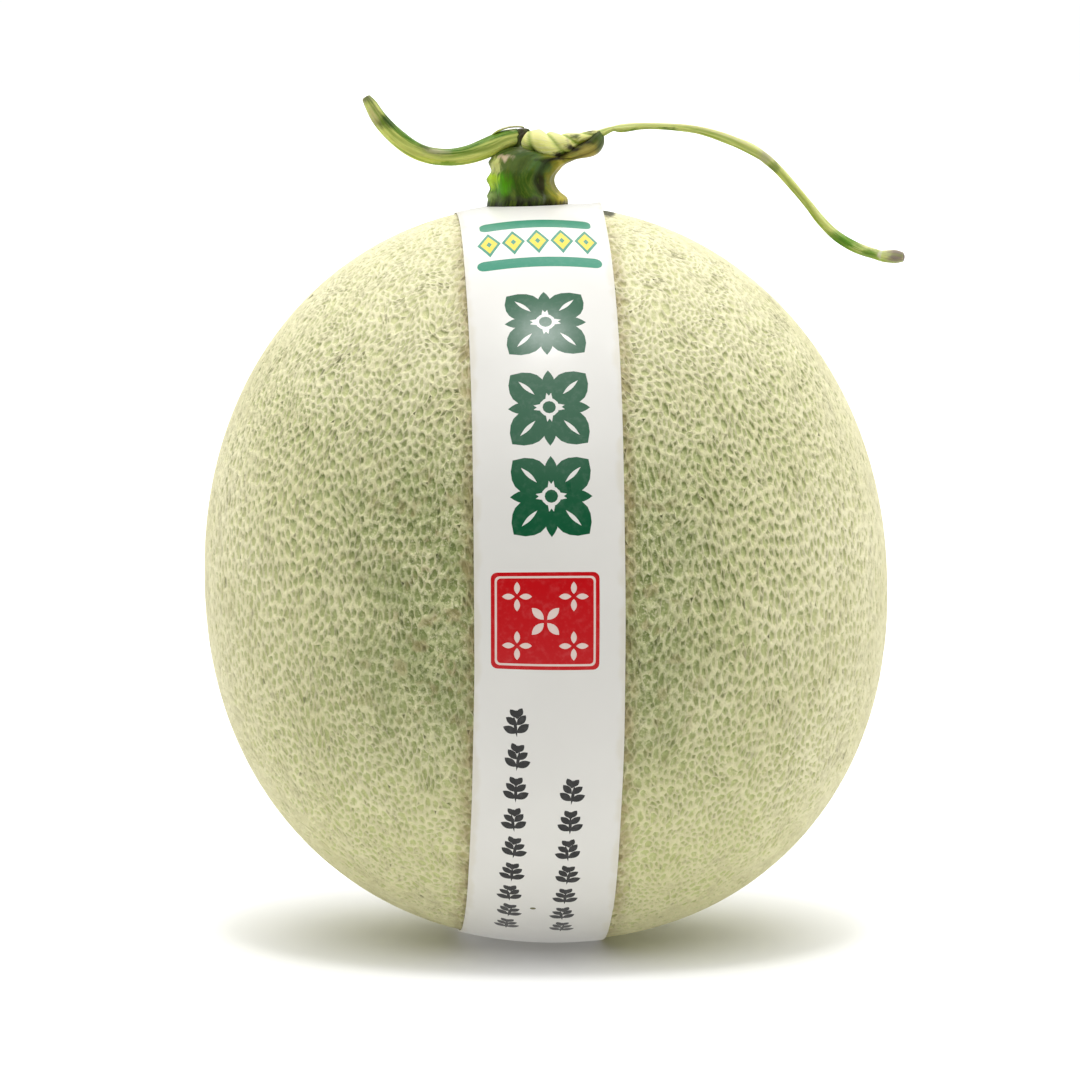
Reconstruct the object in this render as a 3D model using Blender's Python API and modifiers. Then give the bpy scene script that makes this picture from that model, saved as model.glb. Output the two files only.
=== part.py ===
"""Muskmelon with its cut T-shaped stem and its paper band.

Metres, +Z up. The fruit stands on the band's flat underside at the origin.
The front of the band faces -Y.
"""

import math

import bmesh
import bpy
from mathutils import Matrix, Vector

# The fruit: two half superellipses, turned about a nearly upright axis
EQUATOR_RADIUS = 0.0758
EQUATOR_HEIGHT = 0.0790
CROWN_RISE = 0.0836
BASE_DROP = 0.0795
CROWN_FULLNESS = 2.10
BASE_FULLNESS = 2.15
LEAN = 0.021  # how far the axis moves to -X for each unit of height
FRUIT_SEGMENTS = 54
FRUIT_RINGS = 34

# Touching pieces keep this gap
GAP = 0.0003

# The paper band: a strip that hugs the fruit, in an upright plane that is turned a little about +Z
BAND_WIDTH = 0.0314
BAND_THICKNESS = 0.0004
BAND_LIFT = 0.00045
BAND_CENTRE_X = -0.0042
BAND_TURN = math.radians(3.8)
BAND_SEGMENTS = 90
BAND_RINGS = 36
BAND_HOLE_RADIUS = 0.0094
PUNCH_DEPTH = 0.02
PUNCH_SEGMENTS = 40
FRUIT_FLAT_HEIGHT = BAND_THICKNESS + GAP

# The stem pieces: places on a smooth route, each as x, y, z and the radius there
STALK_ROUTE = [
    (-0.0042, 0.0000, 0.1590, 0.0088),
    (-0.0042, 0.0000, 0.1632, 0.0088),
    (-0.0048, 0.0000, 0.1655, 0.0078),
    (-0.0055, 0.0000, 0.1680, 0.0073),
    (-0.0053, 0.0000, 0.1705, 0.0074),
    (-0.0053, 0.0000, 0.1725, 0.0070),
    (-0.0050, 0.0000, 0.1737, 0.0058),
]
LIP_ROUTE = [
    (-0.0020, 0.0000, 0.1690, 0.0040),
    (0.0022, 0.0000, 0.1713, 0.0026),
    (0.0064, 0.0000, 0.1736, 0.0015),
    (0.0098, 0.0000, 0.1752, 0.0016),
    (0.0114, 0.0000, 0.1762, 0.0012),
    (0.0118, 0.0000, 0.1773, 0.0008),
]
VINE_ROUTE = [
    (-0.0043, 0.0000, 0.1761, 0.0033),
    (0.0000, 0.0000, 0.1762, 0.0032),
    (0.0042, 0.0000, 0.1760, 0.0026),
    (0.0066, 0.0000, 0.1768, 0.0017),
    (0.0098, 0.0000, 0.1778, 0.0011),
]
LEAF_STALK_ROUTE = [
    (-0.0061, 0.0000, 0.1774, 0.0024),
    (-0.0118, -0.0014, 0.1760, 0.0025),
    (-0.0220, -0.0036, 0.1726, 0.0019),
    (-0.0289, -0.0044, 0.1740, 0.0018),
    (-0.0351, -0.0040, 0.1786, 0.0016),
    (-0.0388, -0.0030, 0.1850, 0.0011),
]
TENDRIL_ROUTE = [
    (0.0132, 0.0000, 0.1789, 0.0007),
    (0.0167, -0.0006, 0.1797, 0.0010),
    (0.0231, -0.0018, 0.1799, 0.0011),
    (0.0333, -0.0034, 0.1794, 0.0010),
    (0.0409, -0.0038, 0.1770, 0.0010),
    (0.0473, -0.0032, 0.1736, 0.0011),
    (0.0516, -0.0022, 0.1696, 0.0011),
    (0.0569, -0.0004, 0.1636, 0.0009),
    (0.0613, 0.0014, 0.1578, 0.0009),
    (0.0667, 0.0030, 0.1540, 0.0010),
    (0.0731, 0.0036, 0.1516, 0.0011),
    (0.0790, 0.0030, 0.1511, 0.0013),
]
THICK_STEM_BEVEL = 6
THIN_STEM_BEVEL = 3
ROUTE_STEPS = 3  # places that the smooth route gets for each one above

# Modelling tolerances, and the angle from which an edge stays sharp
CUT_TOLERANCE = 1e-7
MERGE_DISTANCE = 1e-6
SHARP_ANGLE = math.radians(40)


def clear_scene():
    """Removes what the file opened with."""
    for old in list(bpy.data.objects):
        bpy.data.objects.remove(old, do_unlink=True)


def new_collection(name):
    """Makes a collection under the scene's own."""
    collection = bpy.data.collections.new(name)
    bpy.context.scene.collection.children.link(collection)
    return collection


def principled(name, colour, roughness):
    """Makes a plain surface of one colour."""
    material = bpy.data.materials.new(name)
    material.use_nodes = True
    shader = material.node_tree.nodes["Principled BSDF"]
    shader.inputs["Base Color"].default_value = (*colour, 1.0)
    shader.inputs["Roughness"].default_value = roughness
    shader.inputs["Metallic"].default_value = 0.0
    material.diffuse_color = (*colour, 1.0)
    return material


def add_object(name, data, collection):
    """Puts a mesh or a curve in a collection as an object."""
    thing = bpy.data.objects.new(name, data)
    collection.objects.link(thing)
    return thing


def finish(thing, material):
    """Gives a piece its material and smooth shading."""
    thing.data.materials.clear()
    thing.data.materials.append(material)
    thing.data.shade_smooth()
    thing.data.set_sharp_from_angle(angle=SHARP_ANGLE)


def hide_cutter(thing):
    """Shows a cutter as wire and keeps it out of the result."""
    thing.hide_render = True
    thing.display_type = "WIRE"


def boolean(thing, other, operation):
    """Cuts or joins a piece with another one."""
    modifier = thing.modifiers.new(f"{operation.lower()}_{other.name}", "BOOLEAN")
    modifier.operation = operation
    modifier.solver = "EXACT"
    modifier.object = other


def signed_power(value, exponent):
    """Raises a size to a power and keeps its sign."""
    return math.copysign(abs(value) ** exponent, value)


def meridian_point(latitude, grow):
    """Gives the outline's distance from the axis and its height at a latitude, moved out by grow."""
    up = latitude >= 0.0
    rise = CROWN_RISE if up else BASE_DROP
    fullness = CROWN_FULLNESS if up else BASE_FULLNESS
    across = signed_power(math.cos(latitude), 2.0 / fullness)
    along = signed_power(math.sin(latitude), 2.0 / fullness)
    normal = Vector((
        signed_power(across, fullness - 1.0) / EQUATOR_RADIUS,
        signed_power(along, fullness - 1.0) / rise,
    )).normalized()
    return (
        EQUATOR_RADIUS * across + grow * normal.x,
        EQUATOR_HEIGHT + rise * along + grow * normal.y,
    )


def lean_offset(height):
    """Gives how far the fruit's axis stands to +X at a height."""
    return -LEAN * (height - EQUATOR_HEIGHT)


def shaped_sphere(segments, rings, placement, grow):
    """Makes a sphere, turned by placement, and shapes it into the fruit's outline moved out by grow."""
    shape = bmesh.new()
    bmesh.ops.create_uvsphere(shape, u_segments=segments, v_segments=rings, radius=1.0, matrix=placement)
    for vertex in shape.verts:
        latitude = math.asin(max(-1.0, min(1.0, vertex.co.z)))
        longitude = math.atan2(vertex.co.y, vertex.co.x)
        radius, height = meridian_point(latitude, grow)
        vertex.co = Vector((
            radius * math.cos(longitude) + lean_offset(height),
            radius * math.sin(longitude),
            height,
        ))
    return shape


def keep_side(shape, point, normal):
    """Cuts a mesh with a plane and keeps the side that the normal points to."""
    everything = shape.verts[:] + shape.edges[:] + shape.faces[:]
    bmesh.ops.bisect_plane(
        shape, geom=everything, dist=CUT_TOLERANCE, plane_co=point, plane_no=normal, clear_inner=True
    )


def cut_flat(shape, height):
    """Cuts the bottom off a closed mesh and closes it with one flat face."""
    keep_side(shape, (0.0, 0.0, height), (0.0, 0.0, 1.0))
    rim = [edge for edge in shape.edges if edge.is_boundary]
    bmesh.ops.contextual_create(shape, geom=rim)
    bmesh.ops.recalc_face_normals(shape, faces=shape.faces)


def to_object(shape, name, collection):
    """Turns a finished bmesh into an object."""
    mesh = bpy.data.meshes.new(name)
    shape.to_mesh(mesh)
    shape.free()
    return add_object(name, mesh, collection)


def fruit_solid(name, collection, grow):
    """Makes the fruit with its flat spot, moved out by grow."""
    shape = shaped_sphere(FRUIT_SEGMENTS, FRUIT_RINGS, Matrix.Identity(4), grow)
    cut_flat(shape, FRUIT_FLAT_HEIGHT)
    return to_object(shape, name, collection)


def smooth_route(route, steps):
    """Reads points and radii from a smooth curve through a route's places."""
    places = [Vector(place) for place in route]
    places = [2.0 * places[0] - places[1], *places, 2.0 * places[-1] - places[-2]]
    points = []
    for before, start, end, after in zip(places, places[1:], places[2:], places[3:]):
        for step in range(steps):
            t = step / steps
            points.append(0.5 * (
                2.0 * start
                + (end - before) * t
                + (2.0 * before - 5.0 * start + 4.0 * end - after) * t**2
                + (3.0 * start - before - 3.0 * end + after) * t**3
            ))
    points.append(places[-2])
    return points


def raised(route, distance):
    """Gives a route whose last place is moved up by a distance."""
    x, y, z, radius = route[-1]
    return [*route[:-1], (x, y, z + distance, radius)]


def sideways_at(points, height):
    """Gives where a route stands to the side at a height."""
    for low, high in zip(points, points[1:]):
        if height <= high[2]:
            share = (height - low[2]) / (high[2] - low[2])
            return low.lerp(high, share)[:2]
    return points[-1][:2]


def stem(name, route, collection, bevel_resolution, grow=0.0, level_rings=False):
    """Makes a round stem of changing thickness along a route, as a closed mesh.

    A thick stem has level rings: it is made upright, and each ring is slid sideways onto the route.
    """
    curve = bpy.data.curves.new(name, "CURVE")
    curve.dimensions = "3D"
    curve.bevel_depth = 1.0
    curve.bevel_resolution = bevel_resolution
    curve.use_fill_caps = True
    points = smooth_route(route, ROUTE_STEPS)
    spline = curve.splines.new("POLY")
    spline.points.add(len(points) - 1)
    for place, point in zip(spline.points, points):
        place.co = (0.0, 0.0, point[2], 1.0) if level_rings else (*point[:3], 1.0)
        place.radius = point[3] + grow
    guide = add_object(f"{name}_route", curve, collection)
    bpy.context.view_layer.update()
    mesh = bpy.data.meshes.new_from_object(guide.evaluated_get(bpy.context.evaluated_depsgraph_get()))
    mesh.name = name
    bpy.data.objects.remove(guide, do_unlink=True)
    shape = bmesh.new()
    shape.from_mesh(mesh)
    bmesh.ops.remove_doubles(shape, verts=shape.verts, dist=MERGE_DISTANCE)
    if level_rings:
        for vertex in shape.verts:
            vertex.co.xy += Vector(sideways_at(points, vertex.co.z))
    bmesh.ops.recalc_face_normals(shape, faces=shape.faces)
    shape.to_mesh(mesh)
    shape.free()
    return add_object(name, mesh, collection)


def band_loop(name, collection):
    """Makes the closed paper loop, a strip of the fruit's outline, before its hole is cut."""
    across = Vector((math.cos(BAND_TURN), math.sin(BAND_TURN), 0.0))
    placement = across.to_track_quat("Z", "Y").to_matrix().to_4x4()
    shape = shaped_sphere(BAND_SEGMENTS, BAND_RINGS, placement, BAND_LIFT)
    cut_flat(shape, BAND_THICKNESS)
    centre = Vector((BAND_CENTRE_X, 0.0, 0.0))
    for side in (1.0, -1.0):
        keep_side(shape, centre - side * across * BAND_WIDTH / 2.0, side * across)
    band = to_object(shape, name, collection)
    paper = band.modifiers.new("paper", "SOLIDIFY")
    paper.thickness = BAND_THICKNESS
    paper.offset = 1.0
    paper.use_even_offset = True
    return band


def stalk_hole_cutter(collection):
    """Makes the round punch that leaves the band's hole for the stalk."""
    shape = bmesh.new()
    bmesh.ops.create_cone(
        shape,
        cap_ends=True,
        segments=PUNCH_SEGMENTS,
        radius1=BAND_HOLE_RADIUS,
        radius2=BAND_HOLE_RADIUS,
        depth=PUNCH_DEPTH,
    )
    cutter = to_object(shape, "stalk_hole", collection)
    cutter.location = (BAND_CENTRE_X, 0.0, EQUATOR_HEIGHT + CROWN_RISE)
    return cutter


def build():
    """Builds every piece of the melon."""
    clear_scene()
    parts = new_collection("muskmelon")
    cutters = new_collection("cutters")

    fruit = fruit_solid("fruit", parts, 0.0)
    finish(fruit, principled("netted_rind", (0.58, 0.58, 0.36), 0.65))
    fruit_room = fruit_solid("fruit_room", cutters, GAP)

    fruit_stalk = stem("fruit_stalk", STALK_ROUTE, parts, THICK_STEM_BEVEL, level_rings=True)
    lip = stem("stalk_lip", LIP_ROUTE, cutters, THIN_STEM_BEVEL)
    boolean(fruit_stalk, lip, "UNION")
    boolean(fruit_stalk, fruit_room, "DIFFERENCE")
    finish(fruit_stalk, principled("stalk_green", (0.10, 0.22, 0.02), 0.5))

    vine_stub = stem("vine_stub", VINE_ROUTE, parts, THIN_STEM_BEVEL)
    stalk_room = stem(
        "stalk_room", raised(STALK_ROUTE, GAP), cutters, THICK_STEM_BEVEL, grow=GAP, level_rings=True
    )
    lip_room = stem("lip_room", LIP_ROUTE, cutters, THIN_STEM_BEVEL, grow=GAP)
    boolean(vine_stub, stalk_room, "DIFFERENCE")
    boolean(vine_stub, lip_room, "DIFFERENCE")
    finish(vine_stub, principled("vine_yellow_green", (0.52, 0.55, 0.16), 0.55))

    leaf_stalk = stem("leaf_stalk", LEAF_STALK_ROUTE, parts, THIN_STEM_BEVEL)
    finish(leaf_stalk, principled("leaf_stalk_green", (0.30, 0.40, 0.06), 0.5))

    tendril = stem("tendril", TENDRIL_ROUTE, parts, THIN_STEM_BEVEL)
    finish(tendril, principled("tendril_green", (0.46, 0.52, 0.16), 0.55))

    paper_band = band_loop("paper_band", parts)
    stalk_hole = stalk_hole_cutter(cutters)
    boolean(paper_band, stalk_hole, "DIFFERENCE")
    finish(paper_band, principled("coated_paper", (0.86, 0.85, 0.82), 0.4))

    for cutter in (fruit_room, lip, stalk_room, lip_room, stalk_hole):
        hide_cutter(cutter)


build()
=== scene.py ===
"""Netted muskmelon with its cut stem and its printed paper band.

Metres, +Z up. The fruit stands on the band at the origin, and the printed front faces -Y.
"""

import logging
import math
from dataclasses import dataclass, field
from enum import Enum

import bpy
import numpy as np
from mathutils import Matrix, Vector
from mathutils.geometry import delaunay_2d_cdt


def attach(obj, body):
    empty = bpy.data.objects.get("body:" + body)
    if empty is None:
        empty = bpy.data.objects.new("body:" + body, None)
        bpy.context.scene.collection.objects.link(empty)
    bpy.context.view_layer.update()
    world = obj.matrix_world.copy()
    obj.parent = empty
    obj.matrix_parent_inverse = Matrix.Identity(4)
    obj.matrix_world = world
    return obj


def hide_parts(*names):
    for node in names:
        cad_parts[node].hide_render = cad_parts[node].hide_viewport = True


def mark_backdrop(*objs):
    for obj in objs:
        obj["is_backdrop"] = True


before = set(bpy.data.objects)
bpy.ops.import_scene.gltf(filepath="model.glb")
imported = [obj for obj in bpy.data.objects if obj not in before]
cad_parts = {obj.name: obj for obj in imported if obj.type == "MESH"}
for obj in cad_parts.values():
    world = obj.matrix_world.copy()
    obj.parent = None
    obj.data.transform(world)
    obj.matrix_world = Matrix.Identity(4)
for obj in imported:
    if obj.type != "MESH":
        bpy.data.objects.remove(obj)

LOG = logging.getLogger("muskmelon")
Colour = tuple[float, float, float]
Point = tuple[float, float, float]
Flat = tuple[float, float]
Outline = list[Flat]
Socket = bpy.types.NodeSocket
PER_METRE = 1000.0
ACROSS_BAND = (0.9978, 0.0663, 0.0)


class NodeSheet:
    """Adds and joins the nodes of one tree in short calls."""

    def __init__(self, tree: bpy.types.NodeTree) -> None:
        """Keeps the tree that the calls add to."""
        self.tree = tree

    def feed(self, socket: Socket, value: object) -> None:
        """Joins a socket to another one, or sets its constant.

        Args:
            socket: The input.
            value: An output socket, or a plain value.
        """
        if isinstance(value, Socket):
            self.tree.links.new(value, socket)
        else:
            socket.default_value = value

    def add(
        self, kind: str, inputs: dict[str | int, object] | None = None, **settings: object
    ) -> bpy.types.Node:
        """Adds a node.

        Args:
            kind: The node's type.
            inputs: What its inputs get, by name or number; None leaves one as it is.
            settings: Properties to set on it.

        Returns:
            The new node.
        """
        node = self.tree.nodes.new(kind)
        for name, value in settings.items():
            setattr(node, name, value)
        for key, value in (inputs or {}).items():
            if value is not None:
                self.feed(node.inputs[key], value)
        return node

    def math(self, operation: str, *values: object) -> Socket:
        """Adds arithmetic on numbers and gives its result.

        Args:
            operation: The Math node's operation.
            values: Sockets or numbers, in the node's order.

        Returns:
            The result's socket.
        """
        return self.add("ShaderNodeMath", dict(enumerate(values)), operation=operation).outputs[0]

    def folded(self, operation: str, values: tuple[object, ...]) -> Socket:
        """Joins numbers one after the other by arithmetic of two.

        Args:
            operation: The Math node's operation.
            values: Sockets or numbers.

        Returns:
            The result's socket.
        """
        result, *others = values
        for value in others:
            result = self.math(operation, result, value)
        return result

    def times(self, *values: object) -> Socket:
        """Multiplies numbers."""
        return self.folded("MULTIPLY", values)

    def plus(self, *values: object) -> Socket:
        """Adds numbers up."""
        return self.folded("ADD", values)

    def line(self, value: object, slope: object, start: object) -> Socket:
        """Multiplies a number by a slope and adds a start."""
        return self.math("MULTIPLY_ADD", value, slope, start)

    def vector(self, operation: str, *values: object) -> Socket:
        """Adds arithmetic on vectors and gives its result.

        Args:
            operation: The Vector Math node's operation.
            values: Sockets or vectors, in the node's order; SCALE takes a vector and a number.

        Returns:
            The result's socket.
        """
        keys = (0, "Scale") if operation == "SCALE" else range(len(values))
        node = self.add("ShaderNodeVectorMath", dict(zip(keys, values)), operation=operation)
        flat = operation in {"DOT_PRODUCT", "LENGTH"}
        return node.outputs["Value" if flat else "Vector"]

    def between(
        self, value: object, low: object, high: object, start: object = 0.0, end: object = 1.0
    ) -> Socket:
        """Maps a number smoothly from one span to another.

        Args:
            value: The number.
            low: Where the first span starts.
            high: Where it ends.
            start: The result up to low.
            end: The result from high on.

        Returns:
            The result's socket.
        """
        inputs = dict(enumerate((value, low, high, start, end)))
        return self.add(
            "ShaderNodeMapRange", inputs, interpolation_type="SMOOTHSTEP").outputs["Result"]

    def fading(self, value: object, low: float, high: float) -> Socket:
        """Gives 1 up to a low number, and from there smoothly 0 from a high one on."""
        return self.between(value, low, high, 1.0, 0.0)

    def noise(
        self, place: object, scale: float, detail: float = 2.0, roughness: float = 0.5,
        colour: bool = False,
    ) -> Socket:
        """Adds a noise and gives its grey or its colour.

        Args:
            place: The coordinates' socket.
            scale: Waves for each metre.
            detail: Number of finer layers.
            roughness: Strength of the finer layers.
            colour: Whether three separate noises are wanted.

        Returns:
            The result's socket.
        """
        node = self.add("ShaderNodeTexNoise", {
            "Vector": place, "Scale": scale, "Detail": detail, "Roughness": roughness,
        })
        return node.outputs["Color" if colour else "Fac"]

    def mix(self, share: object, first: object, second: object) -> Socket:
        """Mixes two colours.

        Args:
            share: Share of the second one.
            first: A socket or a colour of three numbers.
            second: A socket or a colour of three numbers.

        Returns:
            The mixed colour's socket.
        """
        first, second = (
            colour if isinstance(colour, Socket) else (*colour, 1.0) for colour in (first, second)
        )
        return self.add(
            "ShaderNodeMix", {0: share, 6: first, 7: second}, data_type="RGBA").outputs[2]

    def attribute(self, name: str, output: str = "Fac") -> Socket:
        """Reads what the mesh carries under a name."""
        return self.add("ShaderNodeAttribute", attribute_name=name).outputs[output]

    def object_place(self) -> Socket:
        """Reads the object coordinates."""
        return self.add("ShaderNodeTexCoord").outputs["Object"]

    def split(self, place: object) -> list[Socket]:
        """Parts a vector into its three numbers."""
        return list(self.add("ShaderNodeSeparateXYZ", {0: place}).outputs)

    def joined(self, *parts: object) -> Socket:
        """Makes a vector of three numbers."""
        return self.add("ShaderNodeCombineXYZ", dict(enumerate(parts))).outputs[0]

    def away(self, place: object, middle: Point, reach: Point) -> Socket:
        """Measures how far places are from a middle, as a share of the reach each way.

        Args:
            place: The coordinates' socket.
            middle: The middle.
            reach: The distances each way that count as 1.

        Returns:
            The distance's socket.
        """
        return self.vector("LENGTH", self.vector(
            "DIVIDE", self.vector("SUBTRACT", place, middle), reach))


@dataclass(frozen=True)
class Gloss:
    """How a surface shines, in constants that its shader keeps."""

    roughness: float
    specular: float = 0.5
    subsurface: float = 0.0
    subsurface_scale: float = 0.001


class Finish:
    """A material of nodes under construction."""

    def __init__(self, name: str, gloss: Gloss) -> None:
        """Starts a material with a Principled shader.

        Args:
            name: The material's name.
            gloss: Its shine.
        """
        self.material = bpy.data.materials.new(name)
        self.material.use_nodes = True
        self.sheet = NodeSheet(self.material.node_tree)
        self.shader = self.material.node_tree.nodes["Principled BSDF"]
        for socket, value in {
            "Roughness": gloss.roughness,
            "Specular IOR Level": gloss.specular,
            "Subsurface Weight": gloss.subsurface,
            "Subsurface Scale": gloss.subsurface_scale,
        }.items():
            self.shader.inputs[socket].default_value = value

    def coloured(self, colour: Socket) -> None:
        """Joins the base colour."""
        self.sheet.feed(self.shader.inputs["Base Color"], colour)

    def raised(self, height: Socket, distance: float, strength: float = 1.0) -> None:
        """Adds a relief finer than the mesh.

        Args:
            height: The relief's height from 0 to 1.
            distance: The height in metres that 1 stands for.
            strength: Share of the relief that shows.
        """
        bump = self.sheet.add(
            "ShaderNodeBump", {"Height": height, "Distance": distance, "Strength": strength})
        self.sheet.feed(self.shader.inputs["Normal"], bump.outputs["Normal"])


@dataclass(frozen=True)
class Speckle:
    """Soft-edged spots cut out of a noise."""

    scale: float
    detail: float
    roughness: float
    low: float
    high: float
    most: float = 1.0
    least: float = 0.0

    def spread(self, sheet: NodeSheet, place: Socket) -> Socket:
        """Gives the spots' strength at each place.

        Args:
            sheet: The tree.
            place: The coordinates' socket.

        Returns:
            The strength's socket, from the least to the most.
        """
        noise = sheet.noise(place, self.scale, self.detail, self.roughness)
        return sheet.between(noise, self.low, self.high, self.least, self.most)


def new_piece(name: str, mesh: bpy.types.Mesh) -> bpy.types.Object:
    """Shows a mesh as an object at the origin.

    Args:
        name: The piece's name.
        mesh: Its mesh, in place.

    Returns:
        The new object.
    """
    mesh.name = name
    piece = bpy.data.objects.new(name, mesh)
    bpy.context.scene.collection.objects.link(piece)
    return piece


def deliver(piece: bpy.types.Object, node: str) -> bpy.types.Object:
    """Lets a finished piece stand for its solid.

    Args:
        piece: The finished piece.
        node: The solid's node.

    Returns:
        The same piece.
    """
    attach(piece, "root")
    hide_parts(node)
    piece.data.calc_loop_triangles()
    LOG.info("%s: %d triangles", piece.name, len(piece.data.loop_triangles))
    return piece


@dataclass(frozen=True)
class FruitForm:
    """The fruit's outline, two half superellipses turned about a leaning axis."""

    equator_radius: float = 0.0758
    equator_height: float = 0.0790
    crown_rise: float = 0.0836
    base_drop: float = 0.0795
    crown_fullness: float = 2.10
    base_fullness: float = 2.15
    lean: float = 0.021
    flat_height: float = 0.0007
    longest_ray: float = 0.14
    halvings: int = 40
    slope_step: float = 1e-5

    def outside(self, places: np.ndarray) -> np.ndarray:
        """Tells how far outside the outline points lie.

        Args:
            places: The points, one in a row.

        Returns:
            A number for each, 0 on the outline and below 0 inside it.
        """
        lifted = places[..., 2] - self.equator_height
        out = np.hypot(places[..., 0] + self.lean * lifted, places[..., 1]) / self.equator_radius
        rise = np.where(lifted > 0.0, self.crown_rise, self.base_drop)
        fullness = np.where(lifted > 0.0, self.crown_fullness, self.base_fullness)
        return out**fullness + (np.abs(lifted) / rise) ** fullness - 1.0

    def reach(self, start: np.ndarray, way: np.ndarray) -> np.ndarray:
        """Follows rays from inside the fruit to its outline.

        Args:
            start: Where each ray starts.
            way: Its unit direction.

        Returns:
            Where each ray comes out.
        """
        near, far = np.zeros(len(start)), np.full(len(start), self.longest_ray)
        for _ in range(self.halvings):
            middle = (near + far) / 2.0
            inside = self.outside(start + way * middle[:, None]) < 0.0
            near, far = np.where(inside, middle, near), np.where(inside, far, middle)
        return start + way * far[:, None]

    def normal(self, places: np.ndarray) -> np.ndarray:
        """Gives the unit outward direction at points on the outline."""
        slope = np.stack([
            self.outside(places + step) - self.outside(places - step)
            for step in np.eye(3) * self.slope_step
        ], axis=1)
        return slope / np.linalg.norm(slope, axis=1)[:, None]


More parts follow.
